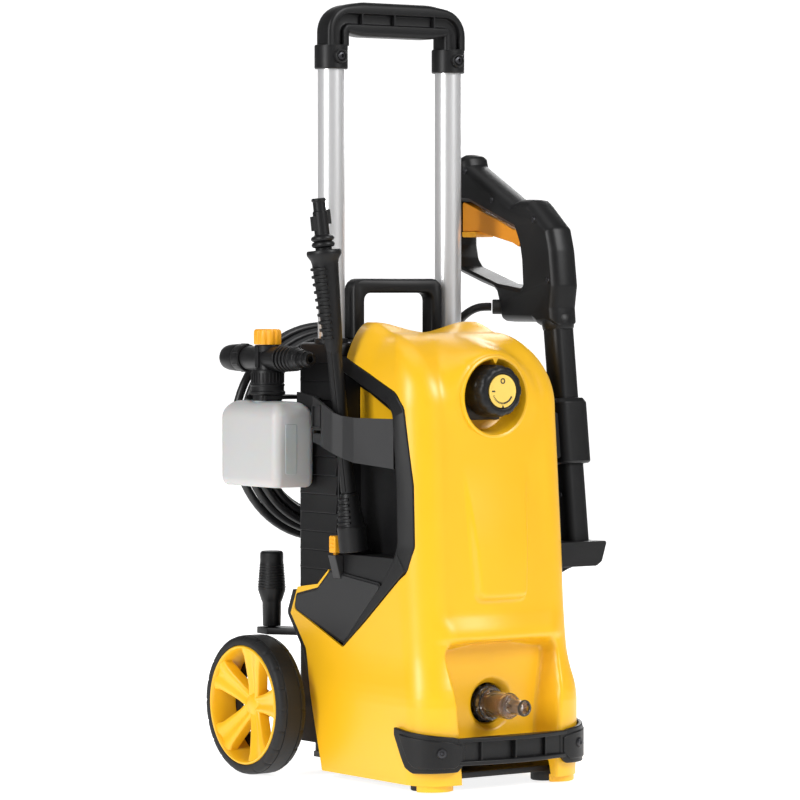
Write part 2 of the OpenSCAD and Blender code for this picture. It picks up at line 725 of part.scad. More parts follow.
module gun_screws() {
    color("dimgray") place() for (p = gun_screws_at)
        rod_x(gun_x - gun_t / 2 - 0.8, gun_x - gun_t / 2, p[0], p[1], 3.2);
}
module trigger() {
    color("orange") place() difference() {
        side_plate([[62, 599], [56.9, 598], [-2.3, 578.6], [-27, 568.6], [-38, 567.6], [-47, 568],
            [-51, 563], [-47.5, 557.5], [-41, 556.5], [-38.5, 549.5], [-27, 554.2], [28, 565.6], [33, 567], [62, 567]], gun_x - 10, gun_x + 10);
        rod_x(gun_x - 20, gun_x + 20, trigger_pin[0], trigger_pin[1], 2 + run_gap);
    }
}
module trigger_lock() { color("gold") place() box(gun_x - 12, gun_x + 12, 34.5, 60, 560.8, 566.7); }
module gun_barrel() {
    color([0.12, 0.12, 0.12]) place() barrel_frame() difference() {
        rod_z(-barrel_l, 28, 0, 0, barrel_r);
        rod_z(-barrel_l - 1, -barrel_l + 40, 0, 0, 5);
    }
}
module gun_hose_inlet() {
    color("goldenrod") place() translate([148, -14, 486]) rotate([0, 0, 55]) rotate([-90, 0,
        0]) difference() {
        cylinder(h = 19.6, r = 7.9);
        translate([0, 0, 8]) cylinder(h = 20, r = 3);
    }
}

// ---- Spray lance ----
module lance_frame() { translate(lance_a) rotate([lance_pitch, lance_yaw, 0]) children(); }
module spray_lance() {
    color([0.12, 0.12, 0.12]) place() lance_frame() {
        rod_z(4, 60.5, 0, 0, 5);
        rod_z(60.5, 217, 0, 0, lance_r);
        translate([0, 0, 217]) cylinder(h = 89, r1 = 10, r2 = 14.5);
        rod_z(306, 310, 0, 0, 18);
        rod_z(310, 325, 0, 0, 8.5);
        for (z = [314, 320]) rod_z(z, z + 3, 0, 0, 12);
        rod_z(325, 349, 0, 0, 7.5);
        box(-9, 9, -3, 3, 332, 349);
        rod_z(349, 363, 0, 0, 6.5);
    }
}
module lance_nozzle() {
    color([0.1, 0.1, 0.1]) place() lance_frame() difference() {
        union() {
            rod_z(0, 26, 0, 0, lance_nozzle_r);
            translate([0, 0, 26]) cylinder(h = 34, r1 = lance_nozzle_r, r2 = 9);
        }
        rod_z(3.5, 70, 0, 0, 5 + run_gap);
        rod_z(-1, 5, 0, 0, 2);
    }
}

// ---- Foam bottle ----
function bottle_plan(t) = let (a = bottle_w / 2 - t, b = bottle_l / 2 - t, c = 8)
    [[-a, -b + c], [-a + c, -b], [a - c, -b], [a, -b + c], [a, b - c], [a - c, b], [-a + c, b],
        [-a, b - c]];
module foam_bottle() {
    color([0.9, 0.9, 0.9, 0.8]) place() translate([foam_x, foam_y + 0.5, 0]) difference() {
        union() {
            plan_plate(bottle_plan(0), bottle_z, neck_z);
            rod_z(neck_z - 1, neck_z + 12, 0, -0.5, neck_r);
        }
        plan_plate(bottle_plan(2), bottle_z + 2.5, neck_z - 2.5);
        rod_z(neck_z - 10, neck_z + 20, 0, -0.5, 12);
    }
}
module foam_head() {
    color([0.1, 0.1, 0.1]) place() difference() {
        union() {
            rod_z(neck_z + 7, 421, foam_x, foam_y, cap_r);
            rod_z(420, 447, foam_x, foam_y, 12);
            rod_y(-8, 80, foam_x, head_z, 12.5);
            rod_y(-34, -7, foam_x, head_z, 7);
            for (y = [-4:6:14]) rod_y(y, y + 2.5, foam_x, head_z, 14);
            rod_y(79, 100, foam_x, head_z, 7);
        }
        rod_z(neck_z, neck_z + 12.2, foam_x, foam_y, neck_r + 0.1);
        rod_z(440, 448, foam_x, foam_y, 5 + run_gap);
    }
}
module foam_dial() {
    color("gold") place() difference() {
        union() {
            rod_z(447.4, 463.5, foam_x, foam_y, 14);
            rod_z(441, 448, foam_x, foam_y, 5);
        }
        for (a = [0:36:324]) translate([foam_x, foam_y, 0]) rotate([0, 0, a]) rod_z(446, 461, 15.2,
            0, 2);
    }
}
module foam_fan_nozzle() {
    color([0.1, 0.1, 0.1]) place() difference() {
        rod_y(80.6, fan_end, foam_x, head_z, 14.5);
        rod_y(80, 102, foam_x, head_z, 7 + run_gap);
        box(foam_x - 12, foam_x + 12, fan_end - 7, fan_end + 5, head_z - 2.5, head_z + 2.5);
    }
}

// ---- Hose ----
module hose_coil() {
    color([0.07, 0.07, 0.07]) place() translate([0, coil_y, coil_z]) rotate([90, 0, 0]) rotate_extrude()
        polygon([[coil_in, -coil_half], [coil_r, -coil_half], [coil_r, coil_half], [coil_in,
            coil_half]]);
}
function unit(v) = v / norm(v);
function tangent(p, i) = unit(p[min(i + 1, len(p) - 1)] - p[max(i - 1, 0)]);
function ring_pts(p, i, r, n) = let (t = tangent(p, i), a = unit(cross(t, [0.31, 0.2, -0.93])),
    b = cross(t, a))
    [for (k = [0:n - 1]) p[i] + r * cos(360 * k / n) * a + r * sin(360 * k / n) * b];
// Round tube swept along a list of points
module sweep(p, r, n = 10) {
    m = len(p);
    polyhedron(
        points = [for (i = [0:m - 1]) each ring_pts(p, i, r, n)],
        faces = concat([[for (k = [0:n - 1]) k]], [[for (k = [n - 1:-1:0]) (m - 1) * n + k]],
            [for (i = [0:m - 2]) for (k = [0:n - 1])
                [i * n + k, (i + 1) * n + k, (i + 1) * n + (k + 1) % n, i * n + (k + 1) % n]]));
}
module hose_lead_gun() { color([0.07, 0.07, 0.07]) place() sweep(lead_gun, hose_d / 2); }
module hose_lead_pump() { color([0.07, 0.07, 0.07]) place() sweep(lead_pump, hose_d / 2); }

front_cover();
rear_cover();
left_trim_frame();
right_trim_frame();
left_pocket();
right_pocket();
left_holder_band();
latch_button();
gun_collar_holder();
gun_rest_cup();
front_bumper_handle();
carry_handle();
tube_guides();
base_chassis();
front_feet();
axle();
axle_washers();
motor_stator();
motor_rotor();
cooling_fan();
pump_wobble_plate();
pump_head();
pump_pistons();
switch_box();
capacitor();
water_pipes();
outlet_connector();
inlet_collar();
inlet_filter_housing();
inlet_filter_screen();
inlet_o_ring();
hose_hook();
nozzle_holder();
housing_screws();
cord_gland();
left_rim();
left_tyre();
right_rim();
right_tyre();
handle_tubes();
handle_grip();
handle_screws();
selector_knob();
knob_dial_disc();
gun_body();
gun_screws();
trigger();
trigger_lock();
gun_barrel();
gun_hose_inlet();
spray_lance();
lance_nozzle();
foam_bottle();
foam_head();
foam_dial();
foam_fan_nozzle();
turbo_nozzle();
hose_coil();
hose_lead_gun();
hose_lead_pump();
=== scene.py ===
"""Looks of an upright pressure washer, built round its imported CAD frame.

Shapes are drawn in millimetres in the drawing frame: x = 0 in the machine's mid plane, y = 0 at the
pull-handle tubes, the front towards -Y and the floor at z = 0. TO_ROW carries them into the row frame.
"""

import math

import bmesh
import bpy
from mathutils import Matrix, Vector


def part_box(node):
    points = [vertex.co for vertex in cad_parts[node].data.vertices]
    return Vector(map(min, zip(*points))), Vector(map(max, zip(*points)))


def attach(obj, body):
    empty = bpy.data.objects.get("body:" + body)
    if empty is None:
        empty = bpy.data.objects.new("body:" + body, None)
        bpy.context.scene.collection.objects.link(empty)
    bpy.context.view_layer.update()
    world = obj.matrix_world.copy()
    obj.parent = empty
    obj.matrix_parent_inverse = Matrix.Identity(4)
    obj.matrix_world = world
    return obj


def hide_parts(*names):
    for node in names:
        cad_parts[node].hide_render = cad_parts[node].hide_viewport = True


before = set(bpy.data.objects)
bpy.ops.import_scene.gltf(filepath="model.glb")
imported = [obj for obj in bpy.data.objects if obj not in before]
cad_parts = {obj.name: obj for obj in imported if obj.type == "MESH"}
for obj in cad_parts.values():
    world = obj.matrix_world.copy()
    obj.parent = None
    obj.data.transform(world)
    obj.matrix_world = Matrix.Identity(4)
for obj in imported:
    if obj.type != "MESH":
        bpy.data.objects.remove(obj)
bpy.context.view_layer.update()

MM = 0.001
cover_low, cover_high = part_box("front_cover")
tubes_low, tubes_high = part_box("handle_tubes")
TO_ROW = Matrix.Translation(((cover_low.x + cover_high.x) / 2, (tubes_low.y + tubes_high.y) / 2, 0))
TO_ROW = TO_ROW @ Matrix.Scale(MM, 4)


def at(x, y, z):
    """A point of the drawing frame in the row frame, in metres."""
    return TO_ROW @ Vector((x, y, z))


def linked(name, data):
    """A new object with this data, linked into the scene."""
    obj = bpy.data.objects.new(name, data)
    bpy.context.scene.collection.objects.link(obj)
    return obj


# ------------------------------------------------------------------ camera and lights

CAMERA_AZIMUTH = math.radians(35.5)
CAMERA_AWAY = 4200
CAMERA_ASIDE = 10.3
CAMERA_HEIGHT = 509.5
CAMERA_PITCH = math.radians(1.65)
LENS, SENSOR = 180, 36


def add_camera():
    ahead = Vector((math.sin(CAMERA_AZIMUTH), math.cos(CAMERA_AZIMUTH), 0))
    right = Vector((ahead.y, -ahead.x, 0))
    place = right * CAMERA_ASIDE - ahead * CAMERA_AWAY
    camera = linked("camera", bpy.data.cameras.new("camera"))
    camera.location = at(place.x, place.y, CAMERA_HEIGHT)
    camera.rotation_euler = (math.pi / 2 - CAMERA_PITCH, 0, -CAMERA_AZIMUTH)
    camera.data.lens, camera.data.sensor_width = LENS, SENSOR
    bpy.context.scene.camera = camera


def add_light(name, place, aim, size, power):
    light = bpy.data.lights.new(name, "AREA")
    light.shape, light.size, light.size_y = "RECTANGLE", size[0], size[1]
    light.energy = power
    obj = linked(name, light)
    obj.location = place
    obj.rotation_euler = (Vector(aim) - Vector(place)).to_track_quat("-Z", "Y").to_euler()


add_camera()

# ------------------------------------------------------------------ shapes


class Shape:
    """Points and faces of one piece, in the drawing frame."""

    def __init__(self):
        self.points = []
        self.faces = []

    def add(self, points, faces, place=None):
        start = len(self.points)
        points = [Vector(p) for p in points]
        self.points += [place @ p for p in points] if place else points
        self.faces += [tuple(start + i for i in face) for face in faces]
        return self

    def rings(self, rings, place=None, round_about=True, end_caps=False, joined=False):
        """Faces between rings of equally many points; a ring of one point is a pole."""
        points, faces, rows = [], [], []
        width = max(len(ring) for ring in rings)
        for ring in rings:
            first = len(points)
            points += list(ring)
            rows.append([first] * width if len(ring) == 1 else list(range(first, first + width)))
        pairs = list(zip(rows, rows[1:] + (rows[:1] if joined else [])))
        for low, high in pairs:
            for k in range(width if round_about else width - 1):
                n = (k + 1) % width
                face = list(dict.fromkeys((low[k], low[n], high[n], high[k])))
                if len(face) > 2:
                    faces.append(face)
        if end_caps:
            faces += [rows[0][::-1], rows[-1]]
        return self.add(points, faces, place)

    def lathe(self, profile, place=None, sides=64, joined=False):
        """Turns (radius, height) points about Z; a radius of 0 makes a pole."""
        turn = [2 * math.pi * k / sides for k in range(sides)]
        rings = [[(0, 0, z)] if r < 1e-6 else [(r * math.cos(a), r * math.sin(a), z) for a in turn]
                 for r, z in profile]
        return self.rings(rings, place, joined=joined)

    def prism(self, outline, low, high, axis="z", place=None):
        """An outline in the two other axes, in their order, extruded along one axis."""
        lay = {"x": lambda a, b, c: (c, a, b), "y": lambda a, b, c: (a, c, b),
               "z": lambda a, b, c: (a, b, c)}[axis]
        return self.rings([[lay(a, b, c) for a, b in outline] for c in (low, high)], place,
                          end_caps=True)

    def box(self, low, high, place=None):
        (x0, y0, z0), (x1, y1, z1) = low, high
        return self.prism([(x0, y0), (x1, y0), (x1, y1), (x0, y1)], z0, z1, place=place)

    def sweep(self, path, section, place=None, caps=True, up=(0, 0, 1)):
        """A closed section carried along a path. section may be a function of the share of the way."""
        path = [Vector(p) for p in path]
        rings = []
        side = None
        for i, p in enumerate(path):
            ahead = (path[min(i + 1, len(path) - 1)] - path[max(i - 1, 0)]).normalized()
            if side is None:
                side = ahead.cross(Vector(up))
            side = (side - ahead * side.dot(ahead)).normalized()
            over = side.cross(ahead)
            cut = section(i / (len(path) - 1)) if callable(section) else section
            rings.append([p + side * a + over * b for a, b in cut])
        return self.rings(rings, place, end_caps=caps)

    def mirrored(self):
        """The same shape on the other side of the mid plane."""
        twin = Shape()
        twin.points = [Vector((-p.x, p.y, p.z)) for p in self.points]
        twin.faces = [face[::-1] for face in self.faces]
        return twin

    def join(self, *others):
        for other in others:
            self.add(other.points, other.faces)
        return self


def turned(radius, height, sides):
    """A level ring whose radius depends on the angle."""
    ring = []
    for k in range(sides):
        a = 2 * math.pi * k / sides
        r = radius(a)
        ring.append((r * math.cos(a), r * math.sin(a), height))
    return ring


def rounded(corners, radius, steps=5, closed=True):
    """The outline with each corner turned into an arc; radius may be a list, one for each corner."""
    out = []
    for i, corner in enumerate(corners):
        r = radius[i] if isinstance(radius, (list, tuple)) else radius
        corner = Vector(corner)
        back = Vector(corners[i - 1]) - corner
        ahead = Vector(corners[(i + 1) % len(corners)]) - corner
        half = back.angle(ahead) / 2
        if r <= 0 or half > 1.53 or (not closed and i in (0, len(corners) - 1)):
            out.append(tuple(corner))
            continue
        run = min(r / math.tan(half), 0.48 * back.length, 0.48 * ahead.length)
        r = run * math.tan(half)
        centre = corner + (back.normalized() + ahead.normalized()).normalized() * (r / math.sin(half))
        start = corner + back.normalized() * run - centre
        end = corner + ahead.normalized() * run - centre
        first = math.atan2(start.y, start.x)
        turn = math.remainder(math.atan2(end.y, end.x) - first, 2 * math.pi)
        out += [(centre.x + r * math.cos(first + turn * k / steps),
                 centre.y + r * math.sin(first + turn * k / steps)) for k in range(steps + 1)]
    return out


def smooth_path(points, steps=6):
    """A Catmull-Rom curve through the points."""
    points = [Vector(p) for p in points]
    padded = [2 * points[0] - points[1]] + points + [2 * points[-1] - points[-2]]
    out = []
    for a, b, c, d in zip(padded, padded[1:], padded[2:], padded[3:]):
        for k in range(steps):
            t = k / steps
            out.append(0.5 * (2 * b + (c - a) * t + (2 * a - 5 * b + 4 * c - d) * t * t
                              + (3 * b - a - 3 * c + d) * t ** 3))
    return out + [points[-1]]


def evened(points, count):
    """The same open line with count points, equally far apart."""
    points = [Vector(p) for p in points]
    runs = [0.0]
    for a, b in zip(points, points[1:]):
        runs.append(runs[-1] + (b - a).length)
    out, i = [], 0
    for k in range(count):
        want = runs[-1] * k / (count - 1)
        while i < len(points) - 2 and runs[i + 1] < want:
            i += 1
        out.append(points[i].lerp(points[i + 1], (want - runs[i]) / max(runs[i + 1] - runs[i], 1e-9)))
    return out


def spaced(anchors, step):
    """Numbers through the anchors, no more than step apart."""
    out = [anchors[0]]
    for a, b in zip(anchors, anchors[1:]):
        n = max(1, math.ceil((b - a) / step - 1e-6))
        out += [a + (b - a) * k / n for k in range(1, n + 1)]
    return out


def ramp(value, low, high):
    """0 below low, 1 above high and a smooth step between."""
    t = min(1.0, max(0.0, (value - low) / (high - low)))
    return t * t * (3 - 2 * t)


def between(value, table):
    """Straight-line look-up in a table of (value, result)."""
    for (a, ra), (b, rb) in zip(table, table[1:]):
        if value <= b:
            return ra + (rb - ra) * max(0.0, (value - a) / (b - a))
    return table[-1][1]


def inside(outline, p):
    """How far p lies inside a closed outline: negative outside it."""
    nearest, odd = 1e9, False
    for (ax, ay), (bx, by) in zip(outline, outline[1:] + outline[:1]):
        dx, dy = bx - ax, by - ay
        t = min(1.0, max(0.0, ((p[0] - ax) * dx + (p[1] - ay) * dy) / (dx * dx + dy * dy)))
        nearest = min(nearest, math.hypot(p[0] - ax - t * dx, p[1] - ay - t * dy))
        if (ay > p[1]) != (by > p[1]) and p[0] < ax + (p[1] - ay) / dy * dx:
            odd = not odd
    return nearest if odd else -nearest


def frame_along(start, end):
    """A local frame whose Z runs from start to end."""
    start, end = Vector(start), Vector(end)
    turn = (end - start).to_track_quat("Z", "Y").to_matrix().to_4x4()
    return Matrix.Translation(start) @ turn


def along_y(x, z, y=0.0):
    """A local frame whose Z runs along +Y through (x, y, z)."""
    return Matrix.Translation((x, y, z)) @ Matrix.Rotation(-math.pi / 2, 4, "X")


def along_x(y, z, x=0.0):
    """A local frame whose Z runs along +X through (x, y, z)."""
    return Matrix.Translation((x, y, z)) @ Matrix.Rotation(math.pi / 2, 4, "Y")


def move(x, y, z):
    return Matrix.Translation((x, y, z))


# ------------------------------------------------------------------ pieces

# Degrees: edges sharper than this are rounded, or left sharp on a piece without rounding
EDGE_ANGLE, SHARP_ANGLE = 32, 38
# CAD faces that meet at less than this, in degrees, are one flat face
FLAT_ANGLE = 0.6
WELD, CUTTER_WELD = 0.02, 0.001
CAD_WELD = 2e-6


def finished(obj, material, body, nodes):
    obj.data.materials.clear()
    obj.data.materials.append(material)
    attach(obj, body)
    if nodes:
        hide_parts(*nodes)
    return obj


def mesh_of(name, shape, weld):
    """The shape's mesh in the row frame, with points closer than weld made one and faces turned out."""
    mesh = bpy.data.meshes.new(name)
    mesh.from_pydata(shape.points, [], shape.faces)
    build = bmesh.new()
    build.from_mesh(mesh)
    bmesh.ops.remove_doubles(build, verts=build.verts, dist=weld)
    bmesh.ops.recalc_face_normals(build, faces=build.faces)
    build.to_mesh(mesh)
    build.free()
    mesh.transform(TO_ROW)
    return mesh


def round_edges(obj, width, segments, angle):
    rounding = obj.modifiers.new("rounding", "BEVEL")
    rounding.width, rounding.segments = width * MM, segments
    rounding.limit_method, rounding.angle_limit = "ANGLE", math.radians(angle)
    rounding.harden_normals = True


def piece(name, shape, material, body="root", nodes=(), bevel=0.0, segments=2,
          angle=EDGE_ANGLE, cuts=(), shell=0.0):
    """Makes one piece that rides on a body and stands for CAD nodes.

    bevel is the width of its rounded edges, cuts are shapes taken out of it, and shell its wall."""
    mesh = mesh_of(name, shape, WELD)
    mesh.shade_smooth()
    obj = linked(name, mesh)
    if cuts:
        cut_out(obj, cuts)
    if shell:
        wall = obj.modifiers.new("wall", "SOLIDIFY")
        wall.thickness, wall.offset = shell * MM, -1
    if bevel:
        round_edges(obj, bevel, segments, angle)
    else:
        obj.data.set_sharp_from_angle(angle=math.radians(SHARP_ANGLE))
    return finished(obj, material, body, nodes)


def cut_out(obj, shapes):
    """Takes closed shapes out of the object's mesh."""
    for shape in shapes:
        cutter = linked("cutter", mesh_of("cutter", shape, CUTTER_WELD))
        cut = obj.modifiers.new("cut", "BOOLEAN")
        cut.operation, cut.solver, cut.object = "DIFFERENCE", "EXACT", cutter
        bpy.context.view_layer.update()
        graph = bpy.context.evaluated_depsgraph_get()
        result = bpy.data.meshes.new_from_object(obj.evaluated_get(graph))
        obj.modifiers.clear()
        obj.data = result
        bpy.data.objects.remove(cutter)
    obj.data.shade_smooth()


def skin(node, material, body="root", bevel=0.6, segments=2):
    """A piece with a CAD node's own shape, its flat faces made whole and its edges rounded."""
    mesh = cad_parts[node].data.copy()
    mesh.name = node
    build = bmesh.new()
    build.from_mesh(mesh)
    bmesh.ops.remove_doubles(build, verts=build.verts, dist=CAD_WELD)
    flat = math.radians(FLAT_ANGLE)
    bmesh.ops.dissolve_limit(build, angle_limit=flat, verts=build.verts, edges=build.edges)
    bmesh.ops.recalc_face_normals(build, faces=build.faces)
    build.to_mesh(mesh)
    build.free()
    mesh.shade_smooth()
    obj = linked(node + "_looks", mesh)
    round_edges(obj, bevel, segments, EDGE_ANGLE)
    return finished(obj, material, body, [node])


# ------------------------------------------------------------------ materials


def add_node(tree, kind, inputs=(), **settings):
    made = tree.nodes.new(kind)
    for key, value in settings.items():
        setattr(made, key, value)
    for key, value in dict(inputs).items():
        made.inputs[key].default_value = value
    return made


def tint(colour, factor):
    return tuple(min(1.0, c * factor) for c in colour) + (1.0,)


def moulded(name, slot, colour, roughness, grain=0.1, grain_size=0.9, mottle=0.05, stretch=(1, 1, 1),
            rough_play=0.06, edge=0.0, **shader_values):
    """Plastic, rubber or metal: cloudy colour, uneven gloss, a fine surface grain and a painted
    highlight that pales convex edges.

    grain_size is in millimetres, grain is the bump's height in tenths of a millimetre, and edge is how
    strongly the painted highlight pales convex edges."""
    made = bpy.data.materials.new(name)
    made.use_nodes = True
    made["slot"] = slot
    tree = made.node_tree
    shader = tree.nodes["Principled BSDF"]
    for key, value in shader_values.items():
        shader.inputs[key.replace("_", " ")].default_value = value
    place = add_node(tree, "ShaderNodeTexCoord")
    spread = add_node(tree, "ShaderNodeMapping", {"Scale": stretch})
    tree.links.new(place.outputs["Object"], spread.inputs["Vector"])
    cloud = add_node(tree, "ShaderNodeTexNoise", {"Scale": 28.0, "Detail": 4.0})
    fine = add_node(tree, "ShaderNodeTexNoise", {"Scale": 1000.0 / grain_size, "Detail": 3.0})
    for noise in (cloud, fine):
        tree.links.new(spread.outputs["Vector"], noise.inputs["Vector"])
    tone = add_node(tree, "ShaderNodeMix", data_type="RGBA")
    tone.inputs["A"].default_value = tint(colour, 1 - mottle)
    tone.inputs["B"].default_value = tint(colour, 1 + mottle)
    tree.links.new(cloud.outputs["Fac"], tone.inputs["Factor"])
    painted = tone.outputs["Result"]
    # Painted highlight: convex edges, found by pointiness, are mixed towards a paler colour in place of
    # the light they catch.
    if edge:
        shape = add_node(tree, "ShaderNodeNewGeometry")
        edge_highlight_mask = add_node(tree, "ShaderNodeMapRange", {"From Min": 0.52, "From Max": 0.62,
                                                     "To Max": edge})
        tree.links.new(shape.outputs["Pointiness"], edge_highlight_mask.inputs["Value"])
        pale = add_node(tree, "ShaderNodeMix", data_type="RGBA")
        pale.inputs["B"].default_value = tint(tuple(c * 2.6 + 0.01 for c in colour), 1)
        tree.links.new(edge_highlight_mask.outputs["Result"], pale.inputs["Factor"])
        tree.links.new(painted, pale.inputs["A"])
        painted = pale.outputs["Result"]
    tree.links.new(painted, shader.inputs["Base Color"])
    gloss = add_node(tree, "ShaderNodeMapRange", {"To Min": roughness - rough_play, "To Max": roughness
                                                  + rough_play})
    tree.links.new(cloud.outputs["Fac"], gloss.inputs["Value"])
    tree.links.new(gloss.outputs["Result"], shader.inputs["Roughness"])
    bump = add_node(tree, "ShaderNodeBump", {"Strength": 0.6, "Distance": grain * 0.1 * MM})
    tree.links.new(fine.outputs["Fac"], bump.inputs["Height"])
    tree.links.new(bump.outputs["Normal"], shader.inputs["Normal"])
    return made


YELLOW = (0.9, 0.49, 0.01)
yellow = moulded("yellow_gloss", "yellow_gloss", YELLOW, 0.36, grain=0.05, grain_size=2.5, mottle=0.02,
                 rough_play=0.03, Coat_Weight=0.15, Coat_Roughness=0.25)
yellow_satin = moulded("yellow_satin", "yellow_satin", (0.9, 0.4, 0.012), 0.42, grain=0.12,
                       grain_size=0.7)
# Painted shade: the trigger's yellow satin, darkened towards orange to stand in for the shade it lies
# in.
yellow_satin_painted_shade = moulded("yellow_satin_painted_shade", "yellow_satin", (0.85, 0.31, 0.012), 0.42, grain=0.12,
                       grain_size=0.7)
# The edge values on black, grey and tyre rubber paint highlights along convex edges.
black = moulded("black_matte", "black_matte", (0.006, 0.006, 0.0065), 0.42, grain=0.35, grain_size=0.55,
                mottle=0.15, edge=0.25, Specular_IOR_Level=0.32)
grey = moulded("grey_satin", "grey_satin", (0.022, 0.022, 0.023), 0.46, grain=0.25, grain_size=0.6,
               mottle=0.08, edge=0.2, Specular_IOR_Level=0.35)
rubber = moulded("rubber_black", "rubber_black", (0.012, 0.012, 0.012), 0.62, grain=0.5, grain_size=0.8)
tyre_rubber = moulded("tyre_rubber", "tyre_rubber", (0.008, 0.008, 0.0085), 0.55, grain=0.6,
                      grain_size=1.1, mottle=0.2, edge=0.25, Specular_IOR_Level=0.35)
hose_rubber = moulded("hose_rubber", "hose_rubber", (0.011, 0.011, 0.012), 0.4, grain=0.3,
                      grain_size=0.5, mottle=0.15)
milky = moulded("milky", "milky", (0.6, 0.6, 0.595), 0.36, grain=0.2, grain_size=3.0, mottle=0.03,
                Subsurface_Weight=0.3, Subsurface_Scale=0.02, Transmission_Weight=0.12)
aluminium = moulded("aluminium_tube", "aluminium_tube", (0.92, 0.92, 0.93), 0.3, grain=0.12,
                    grain_size=0.5, mottle=0.02, stretch=(1, 1, 0.02), Metallic=0.72)
steel = moulded("steel", "steel", (0.5, 0.5, 0.51), 0.34, grain=0.2, grain_size=0.5, Metallic=1.0)
dark_steel = moulded("dark_steel", "steel", (0.06, 0.06, 0.065), 0.4, grain=0.2, grain_size=0.5,
                     Metallic=1.0)
smoky = moulded("smoky_clear", "smoky_clear", (0.74, 0.68, 0.64), 0.07, grain=0.1, grain_size=2.0,
                mottle=0.03, rough_play=0.03, Transmission_Weight=0.96, IOR=1.46)
screen = moulded("copper_screen", "copper_screen", (0.4, 0.19, 0.1), 0.38, grain=1.2, grain_size=0.9,
                 Metallic=0.7)
brass = moulded("brass", "brass", (0.72, 0.5, 0.2), 0.3, grain=0.15, grain_size=0.6, Metallic=1.0)
motor_steel = moulded("motor_steel", "motor_steel", (0.3, 0.3, 0.32), 0.45, stretch=(1, 1, 12),
                      Metallic=0.9)
copper = moulded("copper", "copper", (0.8, 0.36, 0.18), 0.35, stretch=(1, 1, 8), Metallic=1.0)
cast_alloy = moulded("pump_alu", "pump_alu", (0.5, 0.5, 0.5), 0.5, grain=1.5, grain_size=1.5,
                     Metallic=0.85)
dial_yellow = moulded("dial_yellow", "yellow_satin", (0.9, 0.62, 0.13), 0.35, grain=0.05)
ink = moulded("dial_ink", "black_matte", (0.02, 0.02, 0.02), 0.5)

# ------------------------------------------------------------------ high-pressure hose

HOSE_D = 9
COIL_Z = 352
# The hose's free ends: from the pump's outlet to the coil, and from the coil to the gun
lead_pump = [[30, 91, 130], [30, 100.3, 131.2], [30, 109, 134.8], [30.3, 116.5, 140.5],
             [31, 122.2, 148], [32.5, 125.8, 156.7], [35, 127, 166], [40, 127, 181],
             [46.5, 127, 196], [54, 127, 211], [62, 126.8, 226], [70, 126.6, 241],
             [78, 126.5, 256], [85, 126.5, 270.5], [90.3, 126.5, 283.5]]
lead_gun = [[113, 106, 340], [113.8, 103, 356], [114.3, 97, 374], [114.5, 90, 391],
            [114.5, 82, 407], [114.3, 73, 422], [114, 63, 436], [113.7, 53, 448.5],
            [113.3, 43, 459.5], [113, 34, 468], [113.3, 26, 474.5], [114.8, 18.5, 479.5],
            [117.7, 12, 483.2], [121.8, 6.5, 485.4], [126.6, 1.6, 486], [131.3, -1.8, 486]]
# Each turn's radius and its row along Y
TURNS = [(113.3, 126.5), (101.5, 126.5), (92.3, 126.5), (88.6, 117.5), (98, 117.5), (107.5, 117.5),
         (93, 108.5), (102.5, 108.5), (113.4, 107)]
COIL_START, COIL_END = -37.2, -6.1
STEPS_A_TURN = 24
# Shares of a turn over which the coil changes its row, and then its radius
ROW_CHANGE, RADIUS_CHANGE = (0.74, 0.86), (0.82, 1.0)


def coil_points():
    """From the pump's lead to the gun's, each turn beside or on the last."""
    last = 360 * (len(TURNS) - 1) + COIL_END
    count = round((last - COIL_START) / 360 * STEPS_A_TURN)
    points = []
    for k in range(1, count):
        angle = COIL_START + (last - COIL_START) * k / count
        turn = (angle - COIL_START) / 360
        i = min(int(turn), len(TURNS) - 2)
        (r0, y0), (r1, y1) = TURNS[i], TURNS[i + 1]
        radius = r0 + (r1 - r0) * ramp(turn - i, *RADIUS_CHANGE)
        row = y0 + (y1 - y0) * ramp(turn - i, *ROW_CHANGE)
        a = math.radians(angle)
        points.append((radius * math.cos(a), row, COIL_Z + radius * math.sin(a)))
    return points


def add_hose():
    route = smooth_path(lead_pump + coil_points() + lead_gun, 3)
    line = bpy.data.curves.new("hose", "CURVE")
    line.dimensions = "3D"
    line.bevel_depth, line.bevel_resolution = HOSE_D / 2 * MM, 4
    line.use_fill_caps = True
    spline = line.splines.new("POLY")
    spline.points.add(len(route) - 1)
    for point, p in zip(spline.points, route):
        point.co = (*at(*p), 1)
    hose = linked("pressure_hose", line)
    finished(hose, hose_rubber, "root", ["hose_coil", "hose_lead_gun", "hose_lead_pump"])


add_hose()

# ------------------------------------------------------------------ front cover

CORNER_X, CORNER_R = 64, 36
RIDGE_Y, BACK_Y, SIDE_END = -100, -50, 44
SHOULDER, ROLL_TOP, HUMP_TOP = 384, 460, 471
ROLL_ROUNDNESS = 1.25
CORNER_ARC = CORNER_R * math.pi / 2
# (height, distance in front of the handle tubes) and (height, half width)
FACE = [(8, 208), (60, 209), (95, 209), (110, 204.5), (125, 199), (140, 196), (187, 191), (248, 187.5),
        (300, 184), (340, 181.5), (SHOULDER, 178.5)]
HALF = [(8, 104), (60, 105), (95, 105), (125, 100.5), (150, 100), (230, 100), (SHOULDER, 98)]
KNOB_Z, RING_Z, RING_R, RING_Y = 402, 396, 39.5, -182
INLET_Z, INLET_R, RECESS_Y = 84, 21.5, -177
FUNNEL_R, FUNNEL_DEPTH = 27, 6
PANEL_RELIEF, PANEL_SLOPE, BROW = 8, 6.5, 4.5
ARCH_HALF, ARCH_Z = 58, 28
COVER_WALL = 2.5
recess_outline = rounded([(-66, 150), (73, 150), (66, 90), (58, -20), (-56, -20), (-63, 62), (-80, 95),
                          (-80, 120)], [16, 14, 10, 0, 0, 14, 12, 18])
panel_outline = rounded([(-43, 330), (43, 330), (33, 189), (-33, 189)], [0, 0, 11, 11])
